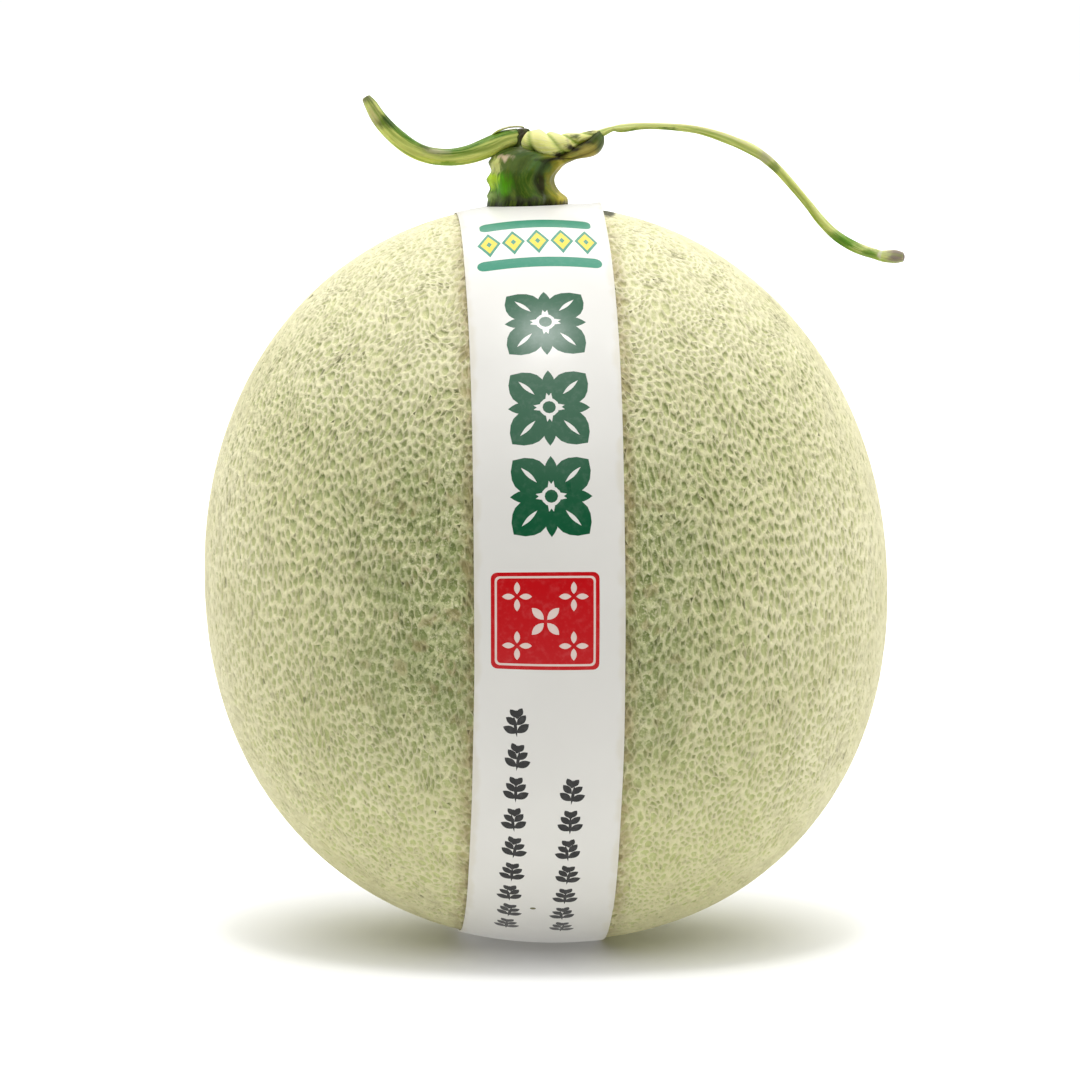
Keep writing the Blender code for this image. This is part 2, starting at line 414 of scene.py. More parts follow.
@dataclass(frozen=True)
class RindFinish:
    """Cream cork net over green skin, with painted shade in its pits, along the band's front edges
    and under its lifted corner; deep green beside the band's middle, partly painted shade, and
    paler at the sides and crown, partly painted light.
    """

    cork: Colour = (0.67, 0.64, 0.36)
    cork_pale: Colour = (0.80, 0.76, 0.50)
    cork_green: Colour = (0.40, 0.45, 0.19)
    skin: Colour = (0.45, 0.48, 0.21)
    skin_low: Colour = (0.52, 0.55, 0.24)
    # Darker green of the skin, which also paints shade in the pits and beside the band.
    skin_dark: Colour = (0.165, 0.212, 0.055)
    # Brown of stains, also the painted shade along the band's front edges.
    brown_stain_and_shade: Colour = (0.34, 0.26, 0.12)
    # Near black of the painted shadow under the band's lifted corner.
    gap: Colour = (0.05, 0.055, 0.025)
    gloss: Gloss = Gloss(roughness=0.62, specular=0.35)
    band_middle: float = 0.0042
    deep_shade_foot: Flat = (0.030, 0.072)
    deep_shade_head: Flat = (0.092, 0.128)
    deep_shade_side: Flat = (0.016, 0.052)
    deep_shade_back: Flat = (-0.03, 0.03)
    low_foot: Flat = (0.020, 0.072)
    pale_lit_side: Flat = (0.042, 0.074)
    pale_lit_crown: Flat = (0.105, 0.150)
    band_edge: Flat = (0.0160, 0.0200)
    lifted_corner_shadow: Point = (0.0136, -0.001, 0.1606)
    corner_reach: Point = (0.0021, 0.0125, 0.0034)
    cloud: Speckle = Speckle(60.0, 3.0, 0.55, 0.3, 0.7, most=0.4)
    blotch: Speckle = Speckle(150.0, 3.0, 0.6, 0.22, 0.62, most=0.62)
    waver: Speckle = Speckle(520.0, 2.0, 0.6, 0.25, 0.75, most=0.18, least=-0.22)
    grit: Speckle = Speckle(950.0, 3.0, 0.7, 0.50, 0.64, most=0.75)
    crumb: Speckle = Speckle(1250.0, 3.0, 0.7, 0.52, 0.66, most=0.7)
    edge_shade_stain: Speckle = Speckle(330.0, 3.0, 0.6, 0.35, 0.6, most=0.7, least=0.1)
    murk: Speckle = Speckle(95.0, 4.0, 0.65, 0.42, 0.62, most=0.38)
    brown: Speckle = Speckle(230.0, 2.0, 0.5, 0.56, 0.68, most=0.55)
    fine_scale: float = 1500.0
    vein_scale: float = 800.0
    vein_squash: Point = (1.0, 1.0, 0.6)
    vein_width: float = 0.16
    relief_depth: float = 0.00022

    def zones(self, sheet: NodeSheet, place: Socket) -> tuple[Socket, Socket, Socket]:
        """Finds the zones of the rind.

        Args:
            sheet: The tree.
            place: The coordinates' socket.

        Returns:
            How deep green and shaded, how near the foot, and how pale and lit each place is, from
            0 to 1; the deep green is partly the skin's own tone and partly painted shade, and the
            pale is partly a paler net and partly painted light.
        """
        x, y, z = sheet.split(place)
        beside = sheet.math("ABSOLUTE", sheet.plus(x, self.band_middle))
        # Deep green zone at the front beside the band's middle, faded out at the back: partly the
        # skin's own deeper green, partly painted shade.
        deep = sheet.times(
            sheet.between(z, *self.deep_shade_foot), sheet.fading(z, *self.deep_shade_head),
            sheet.fading(beside, *self.deep_shade_side), sheet.fading(y, *self.deep_shade_back))
        # Pale zone at the sides and crown: partly a paler net, partly painted light.
        pale = sheet.math(
            "MAXIMUM", sheet.between(beside, *self.pale_lit_side), sheet.between(z, *self.pale_lit_crown))
        return deep, sheet.fading(z, *self.low_foot), pale

    def edge(self, sheet: NodeSheet, place: Socket) -> Socket:
        """Finds the strip of rind along the band's front edges, darkened with painted shade beside
        the paper's edge and with brown stain.

        Args:
            sheet: The tree.
            place: The coordinates' socket.

        Returns:
            The strip's strength.
        """
        across = sheet.math("ABSOLUTE", sheet.vector("DOT_PRODUCT", sheet.vector(
            "ADD", place, (self.band_middle, 0.0, 0.0)), ACROSS_BAND))
        front = sheet.between(sheet.split(place)[1], -0.05, 0.0, 1.0, 0.2)
        return sheet.times(
            sheet.fading(across, *self.band_edge), self.edge_shade_stain.spread(sheet, place), front)

    def build(self) -> bpy.types.Material:
        """Builds the material."""
        finish = Finish("netted_rind", self.gloss)
        sheet = finish.sheet
        place = sheet.object_place()
        pit, lee_shade, tone = (sheet.attribute(name) for name in ("pit", "lee_shade", "tone"))
        deep, low, pale = self.zones(sheet, place)
        fine = sheet.noise(place, self.fine_scale, 3.0, 0.6)
        veins = sheet.add("ShaderNodeTexVoronoi", {
            "Vector": sheet.vector("MULTIPLY", place, self.vein_squash), "Scale": self.vein_scale,
        }, feature="DISTANCE_TO_EDGE")
        vein = sheet.fading(veins.outputs[0], 0.0, self.vein_width)
        depth = sheet.line(vein, -0.16, sheet.plus(
            pit, sheet.between(fine, 0.25, 0.75, -0.12, 0.12), self.waver.spread(sheet, place)))
        # The cork turns pale in clouds and at the sides and crown, which is partly a paler net and
        # partly painted light.
        cork = sheet.mix(sheet.plus(
            self.cloud.spread(sheet, place), sheet.times(pale, 0.6)), self.cork, self.cork_pale)
        # Beside the band's middle the cork turns green and the skin darker: partly their own
        # deeper green, partly painted shade.
        cork = sheet.mix(
            sheet.times(deep, self.blotch.spread(sheet, place)), cork, self.cork_green)
        skin = sheet.mix(low, self.skin, self.skin_low)
        skin = sheet.mix(sheet.times(deep, 0.6), skin, self.skin_dark)
        # The skin turns pale at the sides and crown as well: partly its own tone, partly painted
        # light.
        skin = sheet.mix(sheet.times(pale, 0.55), skin, self.cork)
        # Painted shade in the pits: darkest at their deepest, and on the walls that face down and
        # to the left, away from the light.
        painted_pit_shade = sheet.math(
            "MAXIMUM", sheet.times(sheet.between(depth, 0.66, 1.05), sheet.line(tone, 0.4, 0.6)),
            sheet.times(lee_shade, sheet.between(depth, 0.22, 0.5)))
        plain = sheet.math("SUBTRACT", 1.0, sheet.math(
            "MAXIMUM", sheet.times(pale, 0.65), sheet.times(low, 0.7)))
        grit = sheet.times(sheet.line(deep, 0.8, 0.2), self.grit.spread(sheet, place))
        crumb = sheet.times(sheet.line(deep, 0.6, 0.4), self.crumb.spread(sheet, place))
        corner = sheet.away(place, self.lifted_corner_shadow, self.corner_reach)
        colour = sheet.mix(sheet.between(depth, 0.16, 0.56), cork, skin)
        for share, other in (
            # Painted shade in the pits, and darker specks of grit, both fainter where the rind is
            # pale or low.
            (sheet.times(painted_pit_shade, plain), self.skin_dark),
            (sheet.times(grit, plain), self.skin_dark),
            (crumb, self.cork_pale),
            # Painted shade and brown stain along the band's front edges.
            (self.edge(sheet, place), self.brown_stain_and_shade),
            # Darker mottles and brown spots, only in the deep green zone, which is partly painted
            # shade.
            (sheet.times(deep, self.murk.spread(sheet, place)), self.skin_dark),
            (sheet.times(deep, self.brown.spread(sheet, place)), self.brown_stain_and_shade),
            # Painted shadow under the band's lifted corner.
            (sheet.between(corner, 0.6, 1.0, 0.95, 0.0), self.gap),
        ):
            colour = sheet.mix(share, colour, other)
        finish.coloured(colour)
        relief = sheet.plus(
            sheet.fading(pit, 0.1, 0.6), sheet.times(fine, 0.5), sheet.times(vein, 0.35))
        softer = sheet.line(sheet.math("MAXIMUM", pale, low), -0.35, 1.0)
        finish.raised(sheet.times(relief, softer), self.relief_depth)
        return finish.material


class NetSheet(NodeSheet):
    """Adds the nodes of a tree that grows a mesh in short calls."""

    def moved(self, mesh: Socket, position: object = None, offset: object = None) -> Socket:
        """Moves points.

        Args:
            mesh: The mesh or the points.
            position: Where they go.
            offset: How far they go.

        Returns:
            The moved mesh.
        """
        inputs = {"Geometry": mesh, "Position": position, "Offset": offset}
        return self.add("GeometryNodeSetPosition", inputs).outputs[0]

    def stored(
        self, mesh: Socket, name: str, value: object, only: object = None, domain: str = "POINT"
    ) -> Socket:
        """Writes a number on a mesh.

        Args:
            mesh: The mesh.
            name: The attribute's name.
            value: The number.
            only: Which elements get it.
            domain: What the elements are.

        Returns:
            The mesh with the attribute.
        """
        inputs = {"Geometry": mesh, "Name": name, "Value": value, "Selection": only}
        return self.add(
            "GeometryNodeStoreNamedAttribute", inputs, data_type="FLOAT", domain=domain).outputs[0]

    def chance(self, span: Flat, seed: Socket) -> Socket:
        """Draws a number in a span for each element."""
        inputs = {2: span[0], 3: span[1], "Seed": seed}
        return self.add("FunctionNodeRandomValue", inputs, data_type="FLOAT").outputs[1]

    def extruded(self, mesh: Socket, only: Socket, rise: Socket) -> bpy.types.Node:
        """Draws each chosen face out by itself.

        Args:
            mesh: The mesh.
            only: Which faces.
            rise: How far along their normals.

        Returns:
            The node, with its mesh, its tops and its sides.
        """
        inputs = {"Mesh": mesh, "Selection": only, "Offset Scale": rise}
        return self.add("GeometryNodeExtrudeMesh", inputs, mode="FACES")

    def shrunk(self, mesh: Socket, only: Socket, share: object) -> Socket:
        """Shrinks each chosen face to a share of its size."""
        inputs = {"Geometry": mesh, "Selection": only, "Scale": share}
        return self.add("GeometryNodeScaleElements", inputs, domain="FACE").outputs[0]

    def face_way(self) -> Socket:
        """Reads the normals."""
        return self.add("GeometryNodeInputNormal").outputs[0]


@dataclass
class Fruit:
    """The melon with its raised net."""

    form: FruitForm = field(default_factory=FruitForm)
    seed: int = 7
    cell_gap: float = 0.0146
    most_points: float = 10000.0
    squash: float = 0.60
    ring_depth: float = 0.00046
    pit_depth: float = 0.00085
    globe_level: int = 6
    band_place: Point = (-0.055, 0.0, 0.0)
    under_band: tuple[float, ...] = (0.15, 0.16, 0.1, 1.0)
    back_thinning: tuple[float, ...] = (-0.1, 0.5, 1.0, 0.6)
    pole_thinning: tuple[float, ...] = (0.2, 0.95, 1.0, 0.42)
    swirl: float = 0.42
    swirl_scale: float = 8.0
    swirl_step: float = 0.01
    swirl_grain: Point = (1.0, 1.0, 0.3)
    break_depth: float = 0.0005
    breaks: Speckle = Speckle(420.0, 2.0, 0.5, 0.56, 0.72, most=0.4)
    ringed_area: float = 4.4e-6
    ring_share: Flat = (0.30, 0.66)
    pit_share: Flat = (-1.0, -0.6)
    ring_tone: float = 0.62
    drift_low: Point = (-0.00012, -0.00012, 0.0)
    drift_high: Point = (0.00012, 0.00012, 0.00035)
    lee_shade_way: Point = (-0.35, 0.0, -0.94)
    lee_shade_span: Flat = (0.06, 0.40)
    rind: RindFinish = field(default_factory=RindFinish)

    def sizes(self) -> dict[str, float | int]:
        """Lists the tree's inputs and what they get."""
        return {
            "Cell gap": self.cell_gap, "Most points": self.most_points, "Squash": self.squash,
            "Ring depth": self.ring_depth, "Pit depth": self.pit_depth, "Seed": self.seed,
        }

    def on_outline(self, sheet: NodeSheet, place: Socket) -> Socket:
        """Moves points of the unit sphere to the fruit's outline.

        Args:
            sheet: The tree.
            place: The points on the unit sphere.

        Returns:
            The socket of the points on the fruit.
        """
        form = self.form
        x, y, z = sheet.split(place)
        out = sheet.math("MAXIMUM", sheet.math(
            "SQRT", sheet.plus(sheet.times(x, x), sheet.times(y, y))), 1e-5)
        up = sheet.math("GREATER_THAN", z, 0.0)
        share = sheet.math("DIVIDE", 2.0, sheet.line(
            up, form.crown_fullness - form.base_fullness, form.base_fullness))
        rise = sheet.line(up, form.crown_rise - form.base_drop, form.base_drop)
        along = sheet.times(
            sheet.math("SIGN", z), sheet.math("POWER", sheet.math("ABSOLUTE", z), share))
        height = sheet.line(along, rise, form.equator_height)
        reach = sheet.math("DIVIDE", sheet.times(
            sheet.math("POWER", out, share), form.equator_radius), out)
        aside = sheet.times(sheet.math("SUBTRACT", height, form.equator_height), -form.lean)
        return sheet.joined(
            sheet.line(x, reach, aside), sheet.times(y, reach),
            sheet.math("MAXIMUM", height, form.flat_height))

    def swirled(self, sheet: NetSheet, net: Socket, here: Socket) -> Socket:
        """Bends the lines of the net in slow swirls.

        Args:
            sheet: The tree.
            net: The net on the unit sphere.
            here: The points' places.

        Returns:
            The bent net.
        """
        waves = [
            sheet.noise(sheet.vector("MULTIPLY", place, self.swirl_grain), self.swirl_scale, 0.0)
            for place in (here, *(
                sheet.vector("ADD", here, tuple(step)) for step in np.eye(3) * self.swirl_step))
        ]
        slope = sheet.joined(*(sheet.math("SUBTRACT", ahead, waves[0]) for ahead in waves[1:]))
        turn = sheet.vector("CROSS_PRODUCT", here, slope)
        return sheet.moved(net, sheet.vector("NORMALIZE", sheet.vector(
            "ADD", here, sheet.vector("SCALE", turn, self.swirl))))

    def cells(self, sheet: NetSheet, given: bpy.types.bpy_prop_collection, here: Socket) -> Socket:
        """Spreads seeds over a globe and draws a cell round each on the fruit.

        Args:
            sheet: The tree.
            given: The tree's inputs.
            here: The points' places.

        Returns:
            The net, with its tones and its thin places.
        """
        globe = sheet.add("GeometryNodeMeshIcoSphere", {"Subdivisions": self.globe_level})
        stretched = sheet.vector("NORMALIZE", sheet.vector(
            "DIVIDE", here, sheet.joined(1.0, 1.0, given["Squash"])))
        beside = sheet.math("ABSOLUTE", sheet.vector("DOT_PRODUCT", sheet.vector(
            "SUBTRACT", stretched, self.band_place), ACROSS_BAND))
        _, back, high = sheet.split(here)
        spread = sheet.add("GeometryNodeDistributePointsOnFaces", {
            "Mesh": globe.outputs["Mesh"],
            "Distance Min": given["Cell gap"],
            "Density Max": given["Most points"],
            "Density Factor": sheet.times(
                sheet.between(back, *self.back_thinning), sheet.times(
                    sheet.between(beside, *self.under_band),
                    sheet.between(sheet.math("ABSOLUTE", high), *self.pole_thinning))),
            "Seed": given["Seed"],
        }, distribute_method="POISSON")
        seeds = sheet.moved(spread.outputs["Points"], sheet.vector("NORMALIZE", here))
        hull = sheet.add("GeometryNodeConvexHull", {0: seeds})
        dual = sheet.add("GeometryNodeDualMesh", {0: hull.outputs[0]})
        net = self.swirled(sheet, sheet.moved(dual.outputs[0], stretched), here)
        net = sheet.moved(net, self.on_outline(sheet, here))
        net = sheet.stored(
            net, "tone", sheet.chance((0.0, 1.0), sheet.plus(given["Seed"], 1)), domain="FACE")
        breaks = self.breaks.spread(sheet, here)
        net = sheet.moved(net, offset=sheet.vector(
            "SCALE", sheet.face_way(), sheet.times(breaks, -self.break_depth)))
        return sheet.stored(net, "pit", breaks)

    def sunk(self, sheet: NetSheet, given: bpy.types.bpy_prop_collection, net: Socket) -> Socket:
        """Sinks a ring and a pit into each cell.

        Args:
            sheet: The tree.
            given: The tree's inputs.
            net: The net.

        Returns:
            The net with its pits, each of whose middles has drifted a little.
        """
        area = sheet.add("GeometryNodeInputMeshFaceArea").outputs[0]
        ring = sheet.extruded(
            net, sheet.math("GREATER_THAN", area, self.ringed_area),
            sheet.times(given["Ring depth"], -1.0))
        top = ring.outputs["Top"]
        net = sheet.shrunk(
            ring.outputs["Mesh"], top,
            sheet.chance(self.ring_share, sheet.plus(given["Seed"], 2)))
        net = sheet.stored(net, "pit", self.ring_tone, top)
        deep = sheet.times(
            given["Pit depth"], sheet.chance(self.pit_share, sheet.plus(given["Seed"], 3)))
        floor = sheet.extruded(
            net, sheet.math("SUBTRACT", 1.0, ring.outputs["Side"]),
            sheet.times(deep, sheet.line(top, -0.8, 1.0)))
        core = floor.outputs["Top"]
        net = sheet.shrunk(floor.outputs["Mesh"], core, 0.0)
        net = sheet.stored(net, "pit", sheet.line(top, -0.35, 1.0), core)
        net = sheet.stored(net, "core", core)
        merged = sheet.add(
            "GeometryNodeMergeByDistance", {"Geometry": net, "Selection": core, "Distance": 1e-6})
        drift = sheet.add("FunctionNodeRandomValue", {
            0: self.drift_low, 1: self.drift_high,
        }, data_type="FLOAT_VECTOR")
        marked = sheet.add("GeometryNodeInputNamedAttribute", {"Name": "core"}, data_type="FLOAT")
        return sheet.moved(merged.outputs[0], offset=sheet.vector(
            "SCALE", drift.outputs[0], marked.outputs[0]))

    def tree(self, material: bpy.types.Material) -> bpy.types.NodeTree:
        """Builds the tree that grows the net.

        Args:
            material: The rind's material.

        Returns:
            The tree, with the sizes as named inputs.
        """
        tree = bpy.data.node_groups.new("melon_net", "GeometryNodeTree")
        for name, size in self.sizes().items():
            kind = "NodeSocketInt" if isinstance(size, int) else "NodeSocketFloat"
            tree.interface.new_socket(name, in_out="INPUT", socket_type=kind)
        tree.interface.new_socket("Geometry", in_out="OUTPUT", socket_type="NodeSocketGeometry")
        sheet = NetSheet(tree)
        given = sheet.add("NodeGroupInput").outputs
        here = sheet.add("GeometryNodeInputPosition").outputs[0]
        net = self.sunk(sheet, given, self.cells(sheet, given, here))
        # Stores how far each wall faces down and to the left, where the rind paints shade.
        outward = sheet.vector("NORMALIZE", sheet.vector(
            "SUBTRACT", here, (0.0, 0.0, self.form.equator_height)))
        tilt = sheet.vector("SUBTRACT", sheet.face_way(), outward)
        net = sheet.stored(net, "lee_shade", sheet.between(
            sheet.vector("DOT_PRODUCT", tilt, self.lee_shade_way), *self.lee_shade_span))
        smooth = sheet.add("GeometryNodeSetShadeSmooth", {"Geometry": net})
        real = sheet.add("GeometryNodeRealizeInstances", {0: smooth.outputs[0]})
        dressed = sheet.add(
            "GeometryNodeSetMaterial", {"Geometry": real.outputs[0], "Material": material})
        sheet.add("NodeGroupOutput", {0: dressed.outputs[0]})
        return tree

    def build(self) -> bpy.types.Object:
        """Grows the fruit and lets it stand for its solid."""
        tree = self.tree(self.rind.build())
        guide = new_piece("net_guide", bpy.data.meshes.new("net_guide"))
        grower = guide.modifiers.new("melon_net", "NODES")
        grower.node_group = tree
        sizes = self.sizes()
        for item in tree.interface.items_tree:
            if item.name in sizes:
                grower[item.identifier] = sizes[item.name]
        grown = guide.evaluated_get(bpy.context.evaluated_depsgraph_get())
        mesh = bpy.data.meshes.new_from_object(grown)
        bpy.data.objects.remove(guide, do_unlink=True)
        return deliver(new_piece("fruit_skin", mesh), "fruit")


class Ink(Enum):
    """What covers a place of the paper, in the order that the shapes are laid."""

    PAPER = 0
    TEAL = 1
    YELLOW = 2
    GREEN = 3
    RED = 4
    PALE = 5
    BLACK = 6
    SPECK = 7


@dataclass(frozen=True)
class Mark:
    """One inked shape on the flat paper, in millimetres."""

    ink: Ink
    outline: Outline


def polar(middle: Flat, angle: float, distance: float) -> Flat:
    """Finds the point at an angle in degrees and a distance from a middle."""
    turn = math.radians(angle)
    return middle[0] + distance * math.cos(turn), middle[1] + distance * math.sin(turn)


def rounded_box(middle: Flat, size: Flat, corner: float) -> Outline:
    """Draws a box with round corners.

    Args:
        middle: Its centre.
        size: Its width and its height.
        corner: The corners' radius.

    Returns:
        Its outline.
    """
    points = []
    for turn, (side, end) in enumerate(((1, 1), (-1, 1), (-1, -1), (1, -1))):
        heart = (
            middle[0] + side * (size[0] / 2 - corner), middle[1] + end * (size[1] / 2 - corner))
        points += [polar(heart, 90.0 * turn + 22.5 * step, corner) for step in range(5)]
    return points


def petal(root: Flat, angle: float, length: float, width: float, blunt: float = 1.0) -> Outline:
    """Draws a petal or a leaf.

    Args:
        root: Where it grows from.
        angle: Its direction in degrees.
        length: How long it is.
        width: How wide it is.
        blunt: Under 1 for rounder ends.

    Returns:
        Its outline.
    """
    x, y = polar((0.0, 0.0), angle, 1.0)
    steps = 7
    sides = [
        (k / steps, math.sin(math.pi * k / steps) ** blunt * width / 2) for k in range(steps + 1)
    ]
    walk = [(t, -w) for t, w in sides] + [(t, w) for t, w in reversed(sides[1:-1])]
    return [
        (root[0] + x * t * length - y * w, root[1] + y * t * length + x * w) for t, w in walk
    ]


def disc(middle: Flat, width: float, height: float) -> Outline:
    """Draws a round or oval spot of a width and a height."""
    turns = [math.tau * k / 12 for k in range(12)]
    return [
        (middle[0] + width / 2 * math.cos(turn), middle[1] + height / 2 * math.sin(turn))
        for turn in turns
    ]


def close_set(outline: Outline, gap: float) -> Outline:
    """Adds points to an outline until none are further apart than the gap."""
    points: Outline = []
    for (x, y), (u, v) in zip(outline, outline[1:] + outline[:1]):
        steps = max(1, math.ceil(math.hypot(u - x, v - y) / gap))
        points += [(x + (u - x) * k / steps, y + (v - y) * k / steps) for k in range(steps)]
    return points


@dataclass
class Print:
    """The band's ornament of bars, lozenges, rosettes, florets and sprigs, in millimetres."""

    border_top: float = 27.0
    border_gap: float = 15.0
    lozenge_step: float = 5.2
    lozenges: tuple[tuple[Ink, float, float], ...] = (
        (Ink.TEAL, 5.0, 11.0), (Ink.YELLOW, 3.6, 7.8), (Ink.TEAL, 1.2, 2.6),
    )
    rosettes: tuple[Flat, ...] = ((0.4, 61.2), (0.4, 82.2), (0.4, 101.6))
    rosette_eyes: tuple[tuple[Ink, float], ...] = ((Ink.PAPER, 4.2), (Ink.GREEN, 2.8))
    panel: Flat = (-1.0, 127.8)
    panel_boxes: tuple[tuple[Ink, Flat, float], ...] = (
        (Ink.RED, (22.6, 20.6), 1.3), (Ink.PALE, (21.0, 19.0), 1.0), (Ink.RED, (20.1, 18.1), 0.8),
    )
    floret_step: Flat = (5.9, 5.2)
    florets: tuple[tuple[int, int, float], ...] = (
        (0, 0, 1.35), (-1, -1, 1.0), (1, -1, 1.0), (-1, 1, 1.0), (1, 1, 1.0),
    )
    left_column: tuple[float, float, int] = (-6.7, 150.2, 9)
    right_column: tuple[float, float, int] = (5.0, 166.0, 7)
    column_step: float = 7.9
    sprig_leans: Point = (-9.0, 7.0, 0.0)
    sprig_leaves: tuple[Flat, ...] = ((3.2, 1.75), (2.9, 1.6), (2.3, 1.4))
    speck: Flat = (-1.6, 203.0)

    def border(self) -> list[Mark]:
        """Draws the lozenge border at the top."""
        top, low = self.border_top, self.border_top + self.border_gap
        marks = [
            Mark(Ink.TEAL, rounded_box((0.2, top - 2.4), (24.0, 4.8), 1.6)),
            Mark(Ink.TEAL, rounded_box((0.2, low + 0.4), (26.6, 3.6), 1.6)),
        ]
        for k in range(5):
            x, y = 0.2 + self.lozenge_step * (k - 2), (top + low) / 2 - 0.8
            for ink, width, height in self.lozenges:
                marks.append(Mark(ink, [
                    (x - width / 2, y), (x, y - height / 2),
                    (x + width / 2, y), (x, y + height / 2),
                ]))
        return marks

    def rosette(self, middle: Flat) -> list[Mark]:
        """Draws a chunky leafy rosette about a point."""
        marks = []
        for turn in range(4):
            wide, thin = 45.0 + 90.0 * turn, 90.0 + 90.0 * turn
            marks.append(Mark(Ink.GREEN, petal(polar(middle, wide, 1.3), wide, 9.9, 7.6, 0.75)))
            marks.append(Mark(Ink.PAPER, petal(polar(middle, wide, 4.2), wide, 4.6, 0.9)))
            marks.append(Mark(Ink.GREEN, petal(polar(middle, thin, 2.6), thin, 6.0, 2.7, 0.9)))
        return marks + [Mark(ink, disc(middle, size, size)) for ink, size in self.rosette_eyes]

    def red_panel(self) -> list[Mark]:
        """Draws the red panel with its pale inset line and its pale florets."""
        marks = [
            Mark(ink, rounded_box(self.panel, size, corner))
            for ink, size, corner in self.panel_boxes
        ]
        for across, down, size in self.florets:
            heart = (
                self.panel[0] + self.floret_step[0] * across,
                self.panel[1] + self.floret_step[1] * down,
            )
            for turn in range(4):
                towards = 45.0 * (across == 0) + 90.0 * turn
                leaf = petal(polar(heart, towards, 0.5), towards, 2.6 * size, 1.25 * size, 0.8)
                marks.append(Mark(Ink.PALE, leaf))
        return marks

    def sprig(self, middle: Flat, kind: int) -> list[Mark]:
        """Draws one small black sprig.

        Args:
            middle: Its centre.
            kind: Which of the three sprigs it is.

        Returns:
            Its shapes.
        """
        across, down = middle
        up = -90.0 + self.sprig_leans[kind % 3]
        leaves = [petal((across, down + 2.9), up, 5.0, 0.7)]
        for level, (length, width) in enumerate(self.sprig_leaves):
            root = (across, down + 1.9 - 1.75 * level)
            for side in (-1, 1):
                turn = -90.0 + side * (58.0 - 12.0 * level) + self.sprig_leans[kind % 3]
                leaves.append(petal(root, turn, length, width, 0.8))
        leaves.append(petal((across, down - 1.2), up, 2.0, 1.3, 0.8))
        return [Mark(Ink.BLACK, leaf) for leaf in leaves]

    def marks(self) -> list[Mark]:
        """Draws the whole ornament."""
        marks = self.border() + self.red_panel()
        for middle in self.rosettes:
            marks += self.rosette(middle)
        for across, start, count in (self.left_column, self.right_column):
            for k in range(count):
                place = (across, start + self.column_step * k)
                marks += self.sprig(place, k + int(across > 0))
        return marks + [Mark(Ink.SPECK, disc(self.speck, 1.3, 1.0))]


@dataclass(frozen=True)
class PaperFinish:
    """Coated paper and its inks."""

    paper: Colour = (0.725, 0.713, 0.668)
    paper_edge: Colour = (0.66, 0.63, 0.54)
    inks: tuple[tuple[Ink, Colour], ...] = (
        (Ink.TEAL, (0.006, 0.21, 0.12)),
        (Ink.YELLOW, (0.74, 0.52, 0.005)),
        (Ink.GREEN, (0.004, 0.085, 0.032)),
        (Ink.RED, (0.50, 0.001, 0.004)),
        (Ink.PALE, (0.72, 0.58, 0.52)),
        (Ink.BLACK, (0.014, 0.014, 0.013)),
        (Ink.SPECK, (0.12, 0.11, 0.03)),
    )
    gloss: Gloss = Gloss(roughness=0.28, specular=0.34)
    cloud_scale: float = 45.0
    cloud_shade: float = 0.955
    fray: Speckle = Speckle(160.0, 2.0, 0.5, 0.3, 0.7, most=0.04, least=-0.04)
    wear: Speckle = Speckle(700.0, 3.0, 0.6, 0.45, 0.75, most=0.45)
    wear_fade: float = 0.05

    def build(self) -> list[bpy.types.Material]:
        """Builds the materials, in the inks' order."""
        finish = Finish("coated_paper", self.gloss)
        sheet = finish.sheet
        place = sheet.object_place()
        cloud = sheet.noise(place, self.cloud_scale, 3.0, 0.6)
        rim = sheet.plus(sheet.attribute("edge"), self.fray.spread(sheet, place))
        clouded = sheet.mix(
            sheet.between(cloud, 0.35, 0.65, 0.0, 0.5), self.paper,
            tuple(self.cloud_shade * part for part in self.paper))
        finish.coloured(sheet.mix(
            sheet.between(rim, 0.90, 0.99, 0.0, 0.8), clouded, self.paper_edge))
        finish.raised(cloud, 0.0006, 0.5)
        materials = [finish.material]
        for ink, colour in self.inks:
            finish = Finish(f"ink_{ink.name.lower()}", self.gloss)
            worn = self.wear.spread(finish.sheet, finish.sheet.object_place())
            faded = tuple(part + self.wear_fade for part in colour)
            finish.coloured(finish.sheet.mix(worn, colour, faded))
            materials.append(finish.material)
        return materials


@dataclass(frozen=True)
class CutSheet:
    """The flat strip in triangles, in millimetres."""

    places: np.ndarray
    triangles: list[tuple[int, int, int]]
    inks: list[int]


